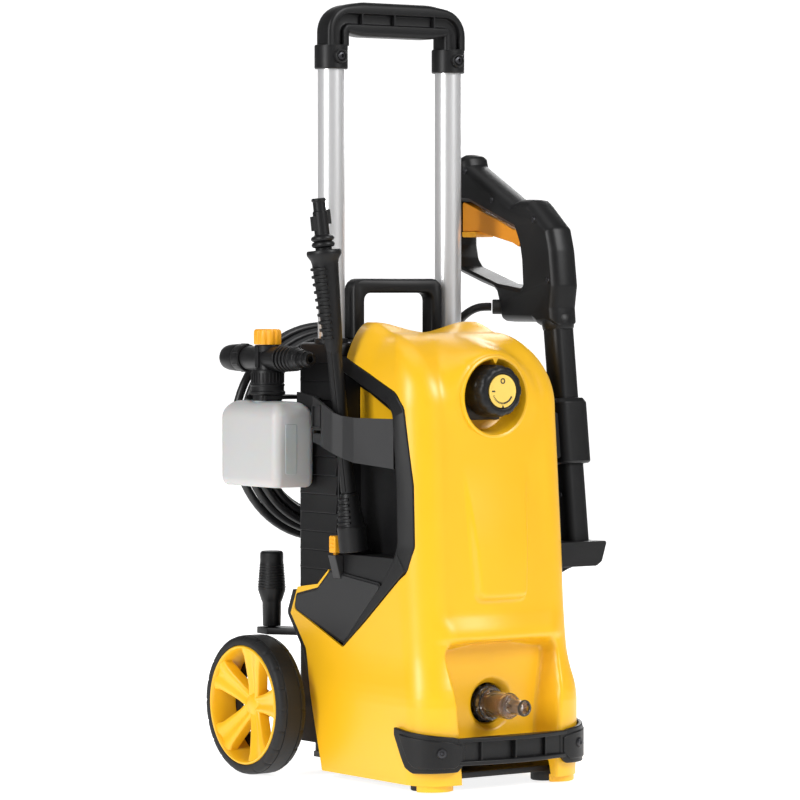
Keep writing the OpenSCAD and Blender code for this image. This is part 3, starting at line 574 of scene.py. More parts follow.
recess_cut = rounded([(-20, 442), (-47, 436), (-147, 401), (-158, 386), (-170, 308), (-173.5, 246),
                      (-166.5, 220), (-99, 168), (-57, 137.5), (32.5, 171.5), (28.5, 188), (-11, 196.5),
                      (-34.5, 216.5), (-20, 226)],
                     [0, 0, 20, 14, 0, 14, 12, 8, 6, 4, 4, 5, 5, 0], 6)
back_cut = [(-50, 600), (-50, 217), (-32, 217), (-11, 200), (26, 195), (39, 167), (10, 132), (-2, 97),
            (-25, 8), (-28, -5), (90, -5), (90, 600)]


def eased(value, table, reach=9):
    """The look-up averaged a little to both sides, which rounds its corners."""
    return sum(between(value + d, table) for d in (-reach, 0, reach)) / 3


def cover_half(z):
    return eased(z, HALF)


def cover_face(z):
    return -eased(z, FACE)


def cover_top(x, y):
    return ROLL_TOP + (HUMP_TOP - ROLL_TOP) * ramp(y, RIDGE_Y, -62) * ramp(abs(x), 4, 62)


def rolled(lift):
    """How far out the skin still is at a share of the way up the roll."""
    return max(0, 1 - min(1, max(0, lift)) ** 2) ** (ROLL_ROUNDNESS / 2)


def side_x(y, z):
    """Half width of the skin at a place on the side, round the corner and up the dome."""
    half = CORNER_X + (cover_half(z) - CORNER_X) * rolled((z - SHOULDER)
                                                          / (cover_top(CORNER_X, y) - SHOULDER))
    past = (cover_face(z) + CORNER_R - y) / CORNER_R
    return CORNER_X + (half - CORNER_X) * math.sqrt(1 - past * past) if past > 0 else half


def face_bow(s):
    return 4 * (1 - min(1, abs(s) / CORNER_X) ** 2) ** 2


def warped(x, z, cz, radius):
    """Bends the squares of the grid round (0, cz) into circles, so that a hole there is round."""
    dx, dz = x, z - cz
    c, far = max(abs(dx), abs(dz)), math.hypot(dx, dz)
    reach = radius + 13
    if c >= reach or far < 1e-6:
        return x, z
    share = min(1, (reach - c) / (reach - radius))
    pull = 1 + (c / far - 1) * share
    return dx * pull, cz + dz * pull


def face_depth(x, y, z):
    """The moulded features of the cover's front: y of the surface there."""
    raised = 0
    if 180 < z < 335:
        raised = PANEL_RELIEF * (1 - ramp(z, 225, 335))
        raised *= ramp(inside(panel_outline, (x, z)), 0, PANEL_SLOPE)
    brow = BROW * ramp(z, 147, 155) * (1 - ramp(z, 158, 180)) * (1 - ramp(abs(x), 58, 84))
    y -= raised + brow
    ring = math.hypot(x, z - RING_Z)
    if ring < 66:
        y += (min(y, RING_Y) - y) * (1 - ramp(ring, RING_R + 2, 64))
    if z < 156:
        within = inside(recess_outline, (x, z))
        width = 5 + 7 * ramp(x, 20, 60) + 6 * ramp(-x, 20, 60)
        y += (RECESS_Y - y) * ramp(within, -1, width * 0.8)
    inlet = math.hypot(x, z - INLET_Z)
    if inlet < FUNNEL_R + 1:
        y += FUNNEL_DEPTH * (1 - ramp(inlet, INLET_R, FUNNEL_R))
    return y


def front_point(s, z):
    """A point of the front or of a rounded corner: s runs along the outline."""
    if abs(s) > CORNER_X:
        turn = (abs(s) - CORNER_X) / CORNER_R
        x = math.copysign(CORNER_X + (cover_half(z) - CORNER_X) * math.sin(turn), s)
        y = cover_face(z) + CORNER_R * (1 - math.cos(turn))
    else:
        x, z = warped(*warped(s, z, RING_Z, RING_R), INLET_Z, INLET_R)
        flat = cover_face(min(z, SHOULDER)) - face_bow(x)
        y = RIDGE_Y + (flat - RIDGE_Y) * rolled((z - SHOULDER) / (ROLL_TOP - SHOULDER))
    return x, face_depth(x, y, z), z


def dome_point(foot, pole, phi):
    """From a foot at the shoulder up to the pole or ridge."""
    x, y = (b + (a - b) * rolled(math.sin(phi)) for a, b in zip(foot, pole))
    return x, y, SHOULDER + (cover_top(x, y) - SHOULDER) * math.sin(phi)


def front_strip(walls, rolls, backs):
    """The flat of the front, the roll over it and the saddle behind, with its two round holes open."""
    strip = spaced([-CORNER_X, -ARCH_HALF, -RING_R, -INLET_R, 0, INLET_R, RING_R, ARCH_HALF, CORNER_X],
                   1.8)
    heights = walls + [SHOULDER + (ROLL_TOP - SHOULDER) * math.sin(phi) for phi in rolls]
    rings = [[front_point(s, z) for s in strip] for z in heights]
    rings += [[(s, y, cover_top(s, y)) for s in strip] for y in backs[1:]]
    heights += [HUMP_TOP] * len(backs)
    faces = []
    for j in range(len(rings) - 1):
        for i in range(len(strip) - 1):
            s, z = (strip[i] + strip[i + 1]) / 2, (heights[j] + heights[j + 1]) / 2
            in_hole = any(max(abs(s), abs(z - cz)) < r
                          for cz, r in ((RING_Z, RING_R), (INLET_Z, INLET_R)))
            if not in_hole and not (abs(s) < ARCH_HALF and z < ARCH_Z):
                a = j * len(strip) + i
                faces.append((a, a + 1, a + 1 + len(strip), a + len(strip)))
    return Shape().add([p for ring in rings for p in ring], faces)


def corner_and_side(walls, rolls, backs):
    """The rounded corner, its quarter of the dome, and the side wall with the dome over it."""
    corner = spaced([CORNER_X, CORNER_X + CORNER_ARC], 1.8)
    steps = 16
    rings = []
    for z in walls:
        start = cover_face(z) + CORNER_R
        ring = [front_point(s, z) for s in corner]
        rings.append(ring + [(cover_half(z), start + (RIDGE_Y - start) * k / steps, z)
                             for k in range(1, steps + 1)])
    feet = [p[:2] for p in rings[-1]]
    rings += [[dome_point(foot, (CORNER_X, RIDGE_Y), phi) for foot in feet] for phi in rolls]
    shape = Shape().rings(rings, round_about=False)

    long = backs + spaced([BACK_Y, SIDE_END], 4)[1:]
    shape.rings([[(cover_half(z), y, z) for y in long] for z in walls], round_about=False)
    foot_x = cover_half(SHOULDER)
    domes = [[(foot_x, y, SHOULDER) for y in backs]]
    domes += [[dome_point((foot_x, y), (CORNER_X, y), phi) for y in backs] for phi in rolls]
    return shape.rings(domes, round_about=False)


def carved(shape, outline):
    """The shape without the part of its sides that lies inside an outline in (y, z)."""
    build = bmesh.new()
    points = [build.verts.new(p) for p in shape.points]
    for face in shape.faces:
        build.faces.new([points[i] for i in face])
    bmesh.ops.remove_doubles(build, verts=build.verts, dist=0.01)
    bmesh.ops.dissolve_degenerate(build, edges=build.edges, dist=0.01)
    margin = 6
    for (ay, az), (by, bz) in zip(outline, outline[1:] + outline[:1]):
        near = []
        for face in build.faces:
            c = face.calc_center_median()
            if (min(ay, by) - margin < c.y < max(ay, by) + margin
                    and min(az, bz) - margin < c.z < max(az, bz) + margin and abs(c.x) > CORNER_X - 4):
                near.append(face)
        parts = {*near, *(e for f in near for e in f.edges), *(v for f in near for v in f.verts)}
        if near and math.hypot(by - ay, bz - az) > 0.01:
            bmesh.ops.bisect_plane(build, geom=list(parts), dist=0.001, plane_co=(0, ay, az),
                                   plane_no=(0, az - bz, by - ay))
    gone = []
    for face in build.faces:
        c = face.calc_center_median()
        if abs(c.x) > CORNER_X - 4 and inside(outline, (c.y, c.z)) > 0:
            gone.append(face)
    bmesh.ops.delete(build, geom=gone, context="FACES")
    build.verts.index_update()
    left = Shape().add([v.co.copy() for v in build.verts],
                       [[v.index for v in f.verts] for f in build.faces])
    build.free()
    return left


def add_front_cover():
    walls = spaced([8, ARCH_Z, INLET_Z - INLET_R, INLET_Z + INLET_R, 160], 1.8)
    walls += spaced([160, 185], 4)[1:] + spaced([185, RING_Z - RING_R, SHOULDER], 2.4)[1:]
    ring_top = math.asin((RING_Z + RING_R - SHOULDER) / (ROLL_TOP - SHOULDER))
    rolls = spaced([0, ring_top, math.pi / 2], math.radians(3.6))[1:]
    backs = spaced([RIDGE_Y, BACK_Y], 4)
    right = corner_and_side(walls, rolls, backs)
    shape = front_strip(walls, rolls, backs).join(right, right.mirrored())
    shape = carved(carved(shape, recess_cut), back_cut)
    piece("front_cover", shape, yellow, nodes=["front_cover"], shell=COVER_WALL, bevel=0.7, angle=70)

    # Raised ring round the selector, with the well inside it
    well = [(RING_R + 3.4, 6), (RING_R + 3.2, -0.6), (RING_R + 2.4, -2.4), (RING_R + 0.8, -3),
            (RING_R - 0.8, -2.2), (RING_R - 1.8, 0), (RING_R - 3.2, 6), (RING_R - 4.6, 18),
            (RING_R - 6, 22.5), (RING_R - 9, 24), (14, 24), (8, 24), (8, 27), (RING_R - 7, 27),
            (RING_R - 2.6, 21), (RING_R, 6)]
    ring = Shape().lathe(well, along_y(0, RING_Z, RING_Y), 96, joined=True)
    piece("knob_well", ring, yellow)
    pointer = rounded([(-4.5, RING_R + 0.8), (4.5, RING_R + 0.8), (0, RING_R - 6.5)], 0.8)
    piece("knob_pointer", Shape().prism(pointer, -2.6, 2, place=along_y(0, RING_Z, RING_Y)
                                        @ Matrix.Rotation(math.pi, 4, "Z")), yellow, bevel=0.5)
    # Mouth of the water inlet
    mouth = [(INLET_R + 1.2, -0.6), (INLET_R + 0.1, 0.4), (INLET_R - 0.8, 2), (INLET_R - 1.1, 14),
             (INLET_R + 1, 14)]
    piece("inlet_mouth", Shape().lathe(mouth, along_y(0, INLET_Z, RECESS_Y + FUNNEL_DEPTH), 72,
                                       joined=True), yellow)
    # Small skirt tabs in front of the feet
    tab = [(CORNER_X + 12 + 27 * math.sin(a), -169 - 33 * math.cos(a))
           for a in (math.radians(d) for d in range(-30, 62, 6))]
    inner = [(x * 0.97, y * 0.985) for x, y in reversed(tab)]
    tabs = Shape().prism(tab + inner, 1.5, 10)
    piece("skirt_tabs", Shape().join(tabs, tabs.mirrored()), yellow, bevel=0.6)


add_front_cover()

# ------------------------------------------------------------------ side trims, pockets and rear cover


def inset(outline, depth):
    """A closed outline moved inwards all round."""
    area = sum(a[0] * b[1] - b[0] * a[1] for a, b in zip(outline, outline[1:] + outline[:1]))
    depth = math.copysign(depth, area * depth)
    out = []
    for i, p in enumerate(outline):
        before = (Vector(p) - Vector(outline[i - 1])).normalized()
        after = (Vector(outline[(i + 1) % len(outline)]) - Vector(p)).normalized()
        n0, n1 = Vector((-before.y, before.x)), Vector((-after.y, after.x))
        out.append(tuple(Vector(p) + (n0 + n1) * (depth / (1 + n0.dot(n1)))))
    return out


TRIM_PROUD, TRIM_FLOOR = 1.3, 67.5
TRIM_RADII = [0, 0, 20, 14, 0, 16, 0]
band_outer = [(-43, 436), (-47, 435.5), (-146.5, 400.3), (-157.4, 385.6), (-169.4, 308), (-172.9, 246),
              (-166, 220.5)]
band_inner = [(-42, 424), (-52, 419), (-134, 388.5), (-142, 379), (-150, 308), (-153, 247), (-142, 224)]
floor_edge = [(-42, 405), (-58, 400), (-115, 374), (-122, 362), (-125, 308), (-122, 250), (-114, 232)]
tail_outline = [(-165.8, 221), (-98.8, 169), (-57.5, 138.8), (-61, 144.5), (-127, 206), (-142, 224),
                (-153, 240)]
pocket_outline = rounded([(-35, 214), (-125, 205), (-59, 143.5), (30.5, 173.5), (27, 186.5),
                          (-11.5, 194.5)], [4, 3, 6, 5, 4, 6])


def trim_side():
    """Band, hollow wall, floor, shelf and tail of the trim on the +X side."""
    lines = [rounded(line, TRIM_RADII, 6, closed=False) for line in (band_outer, band_inner,
                                                                     floor_edge)]
    rings = []
    for outer, inner, floor in zip(*(map(Vector, line) for line in lines)):
        out_x, in_x = (side_x(*p) + TRIM_PROUD for p in (outer, inner))
        across = [(outer, out_x - 9), (outer, out_x - 1), (outer.lerp(inner, 0.05), out_x),
                  (outer.lerp(inner, 0.88), in_x), (inner, in_x - 1.2)]
        for k in range(1, 9):
            t = k / 8 * math.pi / 2
            across.append((inner.lerp(floor, 1 - math.cos(t)), in_x - 1.2 - (in_x - 1.2 - TRIM_FLOOR)
                           * math.sin(t)))
        rings.append([(x, p.x, p.y) for p, x in across])
    band = Shape().rings(rings, round_about=False)
    plates = Shape().prism(lines[2] + [(-42, 232)], TRIM_FLOOR - 2.5, TRIM_FLOOR, "x")
    plates.prism([(-146, 234), (-42, 234), (-42, 214.6), (-129, 205)], TRIM_FLOOR, 98, "x")
    plates.prism(tail_outline, 96, 101.6, "x")
    return band, plates


def add_sides():
    band, plates = trim_side()
    liner = Shape().prism([(-43, 404), (-59, 398.5), (-113, 373.5), (-121, 361), (-122, 338),
                           (-43, 338)], TRIM_FLOOR + 0.3, TRIM_FLOOR + 0.8, "x")
    pocket = Shape().prism(pocket_outline, 96.5, 100.8, "x")
    socket = Shape().prism([(98.3, 232.5), (109, 232.5), (102, 208), (98.3, 208)], -55.4, -42.4, "y")
    piece("right_trim_frame", band, black, nodes=["right_trim_frame"], bevel=0.5)
    piece("left_trim_frame", band.mirrored(), black, nodes=["left_trim_frame"], bevel=0.5)
    piece("right_trim_shelf", plates, black, bevel=1)
    piece("left_trim_shelf", plates.mirrored(), black, bevel=1)
    piece("trim_liners", Shape().join(liner, liner.mirrored()), yellow)
    backing = Shape().prism(inset(pocket_outline, -2), 92, 96.8, "x")
    border = Shape().prism(inset(pocket_outline, -2.4), 95, 99.7, "x")
    piece("pocket_borders", Shape().join(backing, backing.mirrored(), border, border.mirrored()), black,
          bevel=0.4)
    piece("right_pocket", pocket, grey, nodes=["right_pocket"], bevel=0.8)
    piece("left_pocket", Shape().join(pocket.mirrored(), socket.mirrored()), grey,
          nodes=["left_pocket"], bevel=0.8)
    latch = Shape().box((-108.2, -54.4, 234.5), (-98.6, -43.4, 252))
    latch.box((-105.5, -51, 227), (-100.5, -46.5, 235))
    ribs = Shape()
    for z in (239, 243, 247):
        ribs.box((-108.9, -51.8, z), (-107.8, -46, z + 1.5))
    piece("latch_button", latch, yellow_satin, "latch", ["latch_button"], bevel=1.4, segments=3)
    piece("latch_ribs", ribs, yellow_satin, "latch", bevel=0.4)


add_sides()

REAR_X, REAR_BACK, REAR_LOW, DECK_Z = 95, 62, 34, 449
# Side shingles and rear louvres: their count, pitch and first height
RIBS, RIB_PITCH, RIB_LOW = 13, 19.4, 196
LOUVRES, LOUVRE_PITCH, LOUVRE_LOW = 9, 11, 322
TUBE_X, TUBE_R = 75, 14


def rear_plan(t):
    return [(REAR_X - t, -42 + t), (REAR_X - t, 28 - t / 2), (72 - t / 2, REAR_BACK - t),
            (-72 + t / 2, REAR_BACK - t), (-REAR_X + t, 28 - t / 2), (-REAR_X + t, -42 + t)]


def add_rear_cover():
    radii = [1, 12, 12, 12, 12, 1]
    rings = [[(x, y, z) for x, y in rounded(rear_plan(t), radii)]
             for t, z in ((0, REAR_LOW), (0, DECK_Z - 4), (1, DECK_Z - 1), (3, DECK_Z))]
    shell = Shape().rings(rings, end_caps=True)
    hollow = Shape().prism(rounded(rear_plan(3), radii), REAR_LOW - 1, DECK_Z - 3)
    front = Shape().box((-62, -60, REAR_LOW - 1), (62, -30, DECK_Z - 3))
    holes = [Shape().lathe([(0, DECK_Z - 9), (TUBE_R + 1, DECK_Z - 9), (TUBE_R + 1, DECK_Z + 9),
                            (0, DECK_Z + 9)], move(x, 0, 0)) for x in (-TUBE_X, TUBE_X)]
    axle = Shape().lathe([(0, -120), (6, -120), (6, 120), (0, 120)], along_x(48, 72.5))
    piece("rear_cover", shell, black, nodes=["rear_cover"], bevel=0.8,
          cuts=[hollow, front, axle, *holes])

    shingles, louvres = Shape(), Shape()
    for i in range(RIBS):
        z = RIB_LOW + RIB_PITCH * i
        wedge = Shape().prism([(REAR_X - 1, z - 0.4), (REAR_X + 1.9, z + 0.4), (REAR_X + 1.6, z + 3),
                               (REAR_X + 0.2, z + 18.6), (REAR_X - 1, z + 18.6)], -40, 26, "y")
        shingles.join(wedge, wedge.mirrored())
    for i in range(LOUVRES):
        z = LOUVRE_LOW + LOUVRE_PITCH * i
        louvres.prism([(REAR_BACK - 1, z), (REAR_BACK + 1.6, z), (REAR_BACK + 1.4, z + 2),
                       (REAR_BACK + 0.1, z + 7.5), (REAR_BACK - 1, z + 7.5)], -52, 52, "x")
    piece("rear_shingles", shingles, black, bevel=0.4)
    piece("rear_louvres", louvres, black, bevel=0.4)

    # Borders along the yellow cover's lower back edges, and the deck between the humps
    border = rounded([(-27, 8), (-3, 96), (9, 131), (37.5, 166), (27, 190), (36, 192), (47, 167),
                      (17.5, 130), (5.5, 96), (-17, 8)], [0, 20, 12, 6, 0, 0, 8, 14, 20, 0])
    side = Shape().prism(border, 92, 99.5, "x")
    deck = Shape().box((-78, -66, DECK_Z), (78, -38, DECK_Z + 3))
    collar = [(TUBE_R + 0.8, DECK_Z - 8), (TUBE_R + 3.6, DECK_Z - 8), (TUBE_R + 3.6, DECK_Z + 4),
              (TUBE_R + 3, DECK_Z + 5), (TUBE_R + 1.4, DECK_Z + 5), (TUBE_R + 0.8, DECK_Z + 4)]
    collars = Shape()
    for x in (-TUBE_X, TUBE_X):
        collars.lathe(collar, move(x, 0, 0), joined=True)
    piece("rear_borders", Shape().join(side, side.mirrored(), deck), black, bevel=1)
    piece("deck_collars", collars, black)


add_rear_cover()

# ------------------------------------------------------------------ holder band with the bottle's fork


def ribbon(stations, thick):
    """A strip of sheet; a station is a plan point of its outer face with its low and high edge."""
    rings = []
    for i, (x, y, low, high) in enumerate(stations):
        ax, ay = stations[max(i - 1, 0)][:2]
        bx, by = stations[min(i + 1, len(stations) - 1)][:2]
        run = math.hypot(bx - ax, by - ay)
        nx, ny = (by - ay) / run * thick, (ax - bx) / run * thick
        rings.append([(x, y, low), (x, y, high), (x + nx, y + ny, high), (x + nx, y + ny, low)])
    return Shape().rings(rings, end_caps=True)


def add_holder_band():
    plan = rounded([(-97.5, -143), (-115.6, -98.5), (-119.2, -84), (-126, -74), (-126.3, -58),
                    (-121.7, -49), (-119.7, -31), (-101, -12), (-98.6, -6), (-98.6, 29.4)],
                   [0, 3, 8, 9, 9, 8, 5, 5, 4, 0], 6, closed=False)
    # Heights by how far right a point lies as seen by the camera
    low_edge = [(-77, 348), (-52, 334.5), (-37, 329), (6, 323.5)]
    high_edge = [(-83, 398), (-54, 377), (-37, 374.6), (6, 374.2)]
    stations = []
    for x, y in plan:
        across = 0.814 * x - 0.581 * y
        stations.append((x, y, between(across, low_edge), between(across, high_edge)))
    band = ribbon(stations, 2.8)
    slot = Shape().box((-130, -49, 357), (-112, -33, 360.5))
    piece("left_holder_band", band, grey, nodes=["left_holder_band"], bevel=0.7, cuts=[slot])
    frame_bars = Shape()
    for low, high in (((-48.5, 363), (-33, 364.2)), ((-48.5, 385), (-33, 386.2)),
                      ((-48.5, 363), (-47.3, 386.2)), ((-34.2, 363), (-33, 386.2))):
        frame_bars.box((-122.6, low[0], low[1]), (-119.6, high[0], high[1]))
    piece("band_window", frame_bars, grey, bevel=0.3)
    neck = [(-124 + 15.5 * math.cos(math.radians(a)), 46 + 15.5 * math.sin(math.radians(a)))
            for a in range(90, -91, -10)]
    fork = rounded([(-140, 29), (-95.7, 29), (-84, 46), (-84, 66), (-140, 66)],
                   [4, 3, 3, 3, 4]) + [(-140, 61.5)]
    fork_outline = fork + neck + [(-140, 30.5)]
    piece("bottle_fork", Shape().prism(fork_outline, 390.5, 394.5), black, bevel=0.6)


add_holder_band()

# ------------------------------------------------------------------ bumper, handles


def skirt_point(s, z, off):
    """A point in front of the cover's skirt by off; s runs along its plan outline."""
    half, face, radius = 105, 209, 36
    corner = half - radius
    turn = (abs(s) - corner) / radius
    if turn <= 0:
        return s, -face - off, z
    if turn >= math.pi / 2:
        return math.copysign(half + off, s), -face + radius + (turn - math.pi / 2) * radius, z
    x = corner + (radius + off) * math.sin(turn)
    return math.copysign(x, s), -face + radius - (radius + off) * math.cos(turn), z


def plate_round(side, stations, inner, outer):
    """A plate bent round the skirt's corner: stations are (place along the outline, low, high)."""
    rings = []
    for s, low, high in stations:
        rings.append([skirt_point(side * s, z, off) for z, off in ((low, inner), (low, outer),
                                                                   (high, outer), (high, inner))])
    return Shape().rings(rings, end_caps=True)


def add_bumper():
    plates, panels = Shape(), Shape()
    low = [(60, 31), (68, 22), (112, 21), (120, 26), (138, 58)]
    high = [(60, 52), (70, 57), (104, 61), (138, 65.5)]
    panel_low = [(64, 34), (72, 26), (108, 26), (114, 30), (127, 57)]
    panel_high = [(64, 49), (76, 53), (106, 56.5), (127, 60)]
    for side in (-1, 1):
        plates.join(plate_round(side, [(s, between(s, low), between(s, high))
                                       for s in spaced([60, 138], 3)], 0.7, 5.2))
        panels.join(plate_round(side, [(s, between(s, panel_low), between(s, panel_high))
                                       for s in spaced([64, 127], 3)], 4, 6.6))
    bow = [(x, 1 - (x / 69) ** 2) for x in spaced([-69, 69], 3)]

    def strip(rim, depth, low, high):
        rings = [[(x, -210.6, low), (x, -209 - rim - depth * u, low), (x, -209 - rim - depth * u, high),
                  (x, -210.6, high)] for x, u in bow]
        return Shape().rings(rings, end_caps=True)

    flanges = Shape().join(strip(5.5, 10.5, 28.5, 33), strip(5.5, 10.5, 51.5, 56))
    back = strip(3.5, 4, 30, 55)
    ribs = Shape()
    for x in (-42, -2, 38):
        u = 1 - (x / 69) ** 2
        ribs.box((x - 0.9, -208 - 5.5 - 10.5 * u + 1.5, 31), (x + 0.9, -211, 53))
    piece("front_bumper_handle", Shape().join(plates, flanges), black, nodes=["front_bumper_handle"],
          bevel=1.2, segments=3)
    piece("bumper_panels", panels, black, bevel=1.6, segments=3)
    piece("bumper_back", back.join(ribs), black, bevel=0.4)
    heads = Shape()
    screw = [(0, 7.6), (1.6, 7.6), (2.2, 8.6), (4.4, 8.4), (5, 7.6), (5, 5), (0, 5)]
    for side in (-1, 1):
        start, end = (Vector(skirt_point(side * (69 + 36 * math.radians(25)), 42, off))
                      for off in (0, 10))
        heads.lathe(screw, frame_along(start, end), 32)
    for x in (-60, 60):
        for z in (102, 210, 290):
            heads.lathe([(0, 0.6), (1.5, 0.6), (2, 1.8), (4, 1.7), (4.5, 1), (4.5, -1), (0, -1)],
                        along_y(x, z, REAR_BACK + 0.2), 32)
    piece("housing_screws", heads, dark_steel, nodes=["housing_screws"])


add_bumper()

GRIP_LOW = 757


def add_pull_handle():
    path = rounded([(-74.5, GRIP_LOW), (-74.5, 785), (74.5, 785), (74.5, GRIP_LOW)], 29, 14,
                   closed=False)
    path = [(x, 0, z) for x, z in path]
    corners = [(-5.8, -15), (-5, -9), (5, -9), (5.8, -15)]

    def section(share):
        """Rounded bar with a channel along its front; the crossbar is deeper than the legs."""
        half = 13.5 + 4.5 * ramp(min(share, 1 - share), 0.12, 0.3)
        outline = [(-half, -15), *corners, (half, -15), (half, 15), (-half, 15)]
        return rounded(outline, [10, 1, 1.5, 1.5, 1, 10, 11, 11], 4)

    grip = Shape().sweep(evened(path, 70), section, up=(0, 1, 0))
    for x in (-45, -4, 47):
        grip.box((x - 0.8, -14.4, 779), (x + 0.8, -8, 792))
    collar = [(14.4, 733), (16.6, 733), (17.4, 734), (17.4, 757), (16.6, 758), (12, 758), (12, 757),
              (14.4, 756.5)]
    boss = [(4.8, -14), (7.4, -14), (7.4, 5), (6.9, 5.6), (5.4, 5.6), (4.8, 5)]
    collars, bosses, heads = Shape(), Shape(), Shape()
    for x in (-TUBE_X, TUBE_X):
        collars.lathe(collar, move(x, 0, 0), joined=True)
        facing = frame_along((x, -14, 746), (x, -30, 746))
        bosses.lathe(boss, facing, 40, joined=True)
        heads.lathe([(0, 4.4), (1.4, 4.4), (2, 6.4), (3.8, 6), (4.5, 5), (4.5, 1), (0, 1)], facing, 32)
    piece("handle_grip", grip, black, "handle", ["handle_grip"], bevel=0.3)
    piece("handle_collars", collars.join(bosses), black, "handle")
    piece("handle_screws", heads, dark_steel, "handle", ["handle_screws"])
    tube = [(TUBE_R, 293), (TUBE_R, GRIP_LOW), (TUBE_R - 1.5, GRIP_LOW), (TUBE_R - 1.5, 293)]
    tubes = Shape()
    for x in (-TUBE_X, TUBE_X):
        tubes.lathe(tube, move(x, 0, 0), 96, joined=True)
    piece("handle_tubes", tubes, aluminium, "handle", ["handle_tubes"])


add_pull_handle()

# ------------------------------------------------------------------ wheels

AXLE_Y, AXLE_Z, WHEEL_X = 48, 72.5, 121
SPOKES, SPOKE_TURN = 5, 30
TYRE_SIDES, TYRE_NOTCHES, NOTCH_DEPTH = 240, 20, 1.1


def wheel_frame(side):
    """Local X towards the back, Y up and Z outwards from the wheel's inner side."""
    return Matrix(((0, 0, side, side * WHEEL_X), (1, 0, 0, AXLE_Y), (0, 1, 0, AXLE_Z), (0, 0, 0, 1)))


def tyre_shape(place):
    profile = [(62, 1.5), (62, 32.5), (63, 33.6), (66.5, 34), (69.5, 33.2), (71.4, 31), (72.2, 28),
               (72.4, 26.6), (71.7, 26.2), (71.7, 25.6), (72.5, 25.2), (72.5, 9.2), (71.7, 8.8),
               (71.7, 8.2), (72.4, 7.8), (72.1, 5), (70.5, 2), (68, 0.4), (64, 0)]
    rings = []
    for r, h in profile:
        at_shoulder = r > 69 and (h > 25.9 or h < 8.5)
        ring = []
        for k in range(TYRE_SIDES):
            notch = NOTCH_DEPTH if at_shoulder and k % (TYRE_SIDES // TYRE_NOTCHES) == 0 else 0
            a = 2 * math.pi * k / TYRE_SIDES
            ring.append(((r - notch) * math.cos(a), (r - notch) * math.sin(a), h))
        rings.append(ring)
    return Shape().rings(rings, place, joined=True)


def rim_shape(place):
    barrel = [(62, 4), (62, 33), (61, 34.3), (59.6, 34.3), (58.9, 33.4), (57.8, 30), (56.6, 18),
              (56.2, 5), (58, 4)]
    shape = Shape().lathe(barrel, place, 120, joined=True)
    hub = [(0, 23.6), (5, 23.4), (9, 22.4), (12.4, 20), (14.4, 16), (15, 10), (15, 3), (5.6, 3),
           (5.6, 18.6), (0, 18.6)]
    shape.lathe(hub, place, 64)
    stations = [(4, 9.5, 22.6), (12, 9.2, 22.8), (20, 9.8, 24), (30, 11.4, 26.2), (40, 13.2, 28.6),
                (49, 15.2, 30.6), (56, 17.6, 32), (60.4, 19.6, 33)]
    rings = []
    for r, half, top in stations:
        skirt = top - 13 if r < 50 else top - 13 + (r - 50) * 0.3
        cut = [(-1, skirt), (-0.99, top - 3.2), (-0.93, top - 1.5), (-0.8, top - 0.5), (-0.62, top),
               (-0.4, top - 0.6), (-0.22, top - 2), (0, top - 2.5), (0.22, top - 2), (0.4, top - 0.6),
               (0.62, top), (0.8, top - 0.5), (0.93, top - 1.5), (0.99, top - 3.2), (1, skirt)]
        rings.append([(math.sqrt(max(r * r - (half * b) ** 2, 1)) if r > 50 else r, half * b, h)
                      for b, h in cut])
    for k in range(SPOKES):
        turn = Matrix.Rotation(math.radians(SPOKE_TURN) + 2 * math.pi * k / SPOKES, 4, "Z")
        shape.rings(rings, place @ turn, end_caps=True)
    return shape


def add_wheels():
    for name, side in (("left", -1), ("right", 1)):
        place, body = wheel_frame(side), "wheel_" + name
        piece(name + "_tyre", tyre_shape(place), tyre_rubber, body, [name + "_tyre"])
        piece(name + "_rim", rim_shape(place), yellow, body, [name + "_rim"], bevel=0.5)
        flange = [(47, 1), (58.5, 1), (58.5, 4.5), (49, 4.5), (47, 3.5)]
        piece(name + "_rim_flange", Shape().lathe(flange, place, 96, joined=True), black, body)


add_wheels()

# ------------------------------------------------------------------ selector knob and water inlet


def facing_front(x, y, z):
    """Local X to the right, Y up and Z towards the front."""
    return Matrix(((1, 0, 0, x), (0, 0, -1, y), (0, 1, 0, z), (0, 0, 0, 1)))


KNOB_FRONT = -196.5
KNOB_FLUTES, FLUTE_DEPTH = 12, 1.1
DIAL_TICKS, FIRST_TICK, TICK_STEP = 16, 202, 8.5


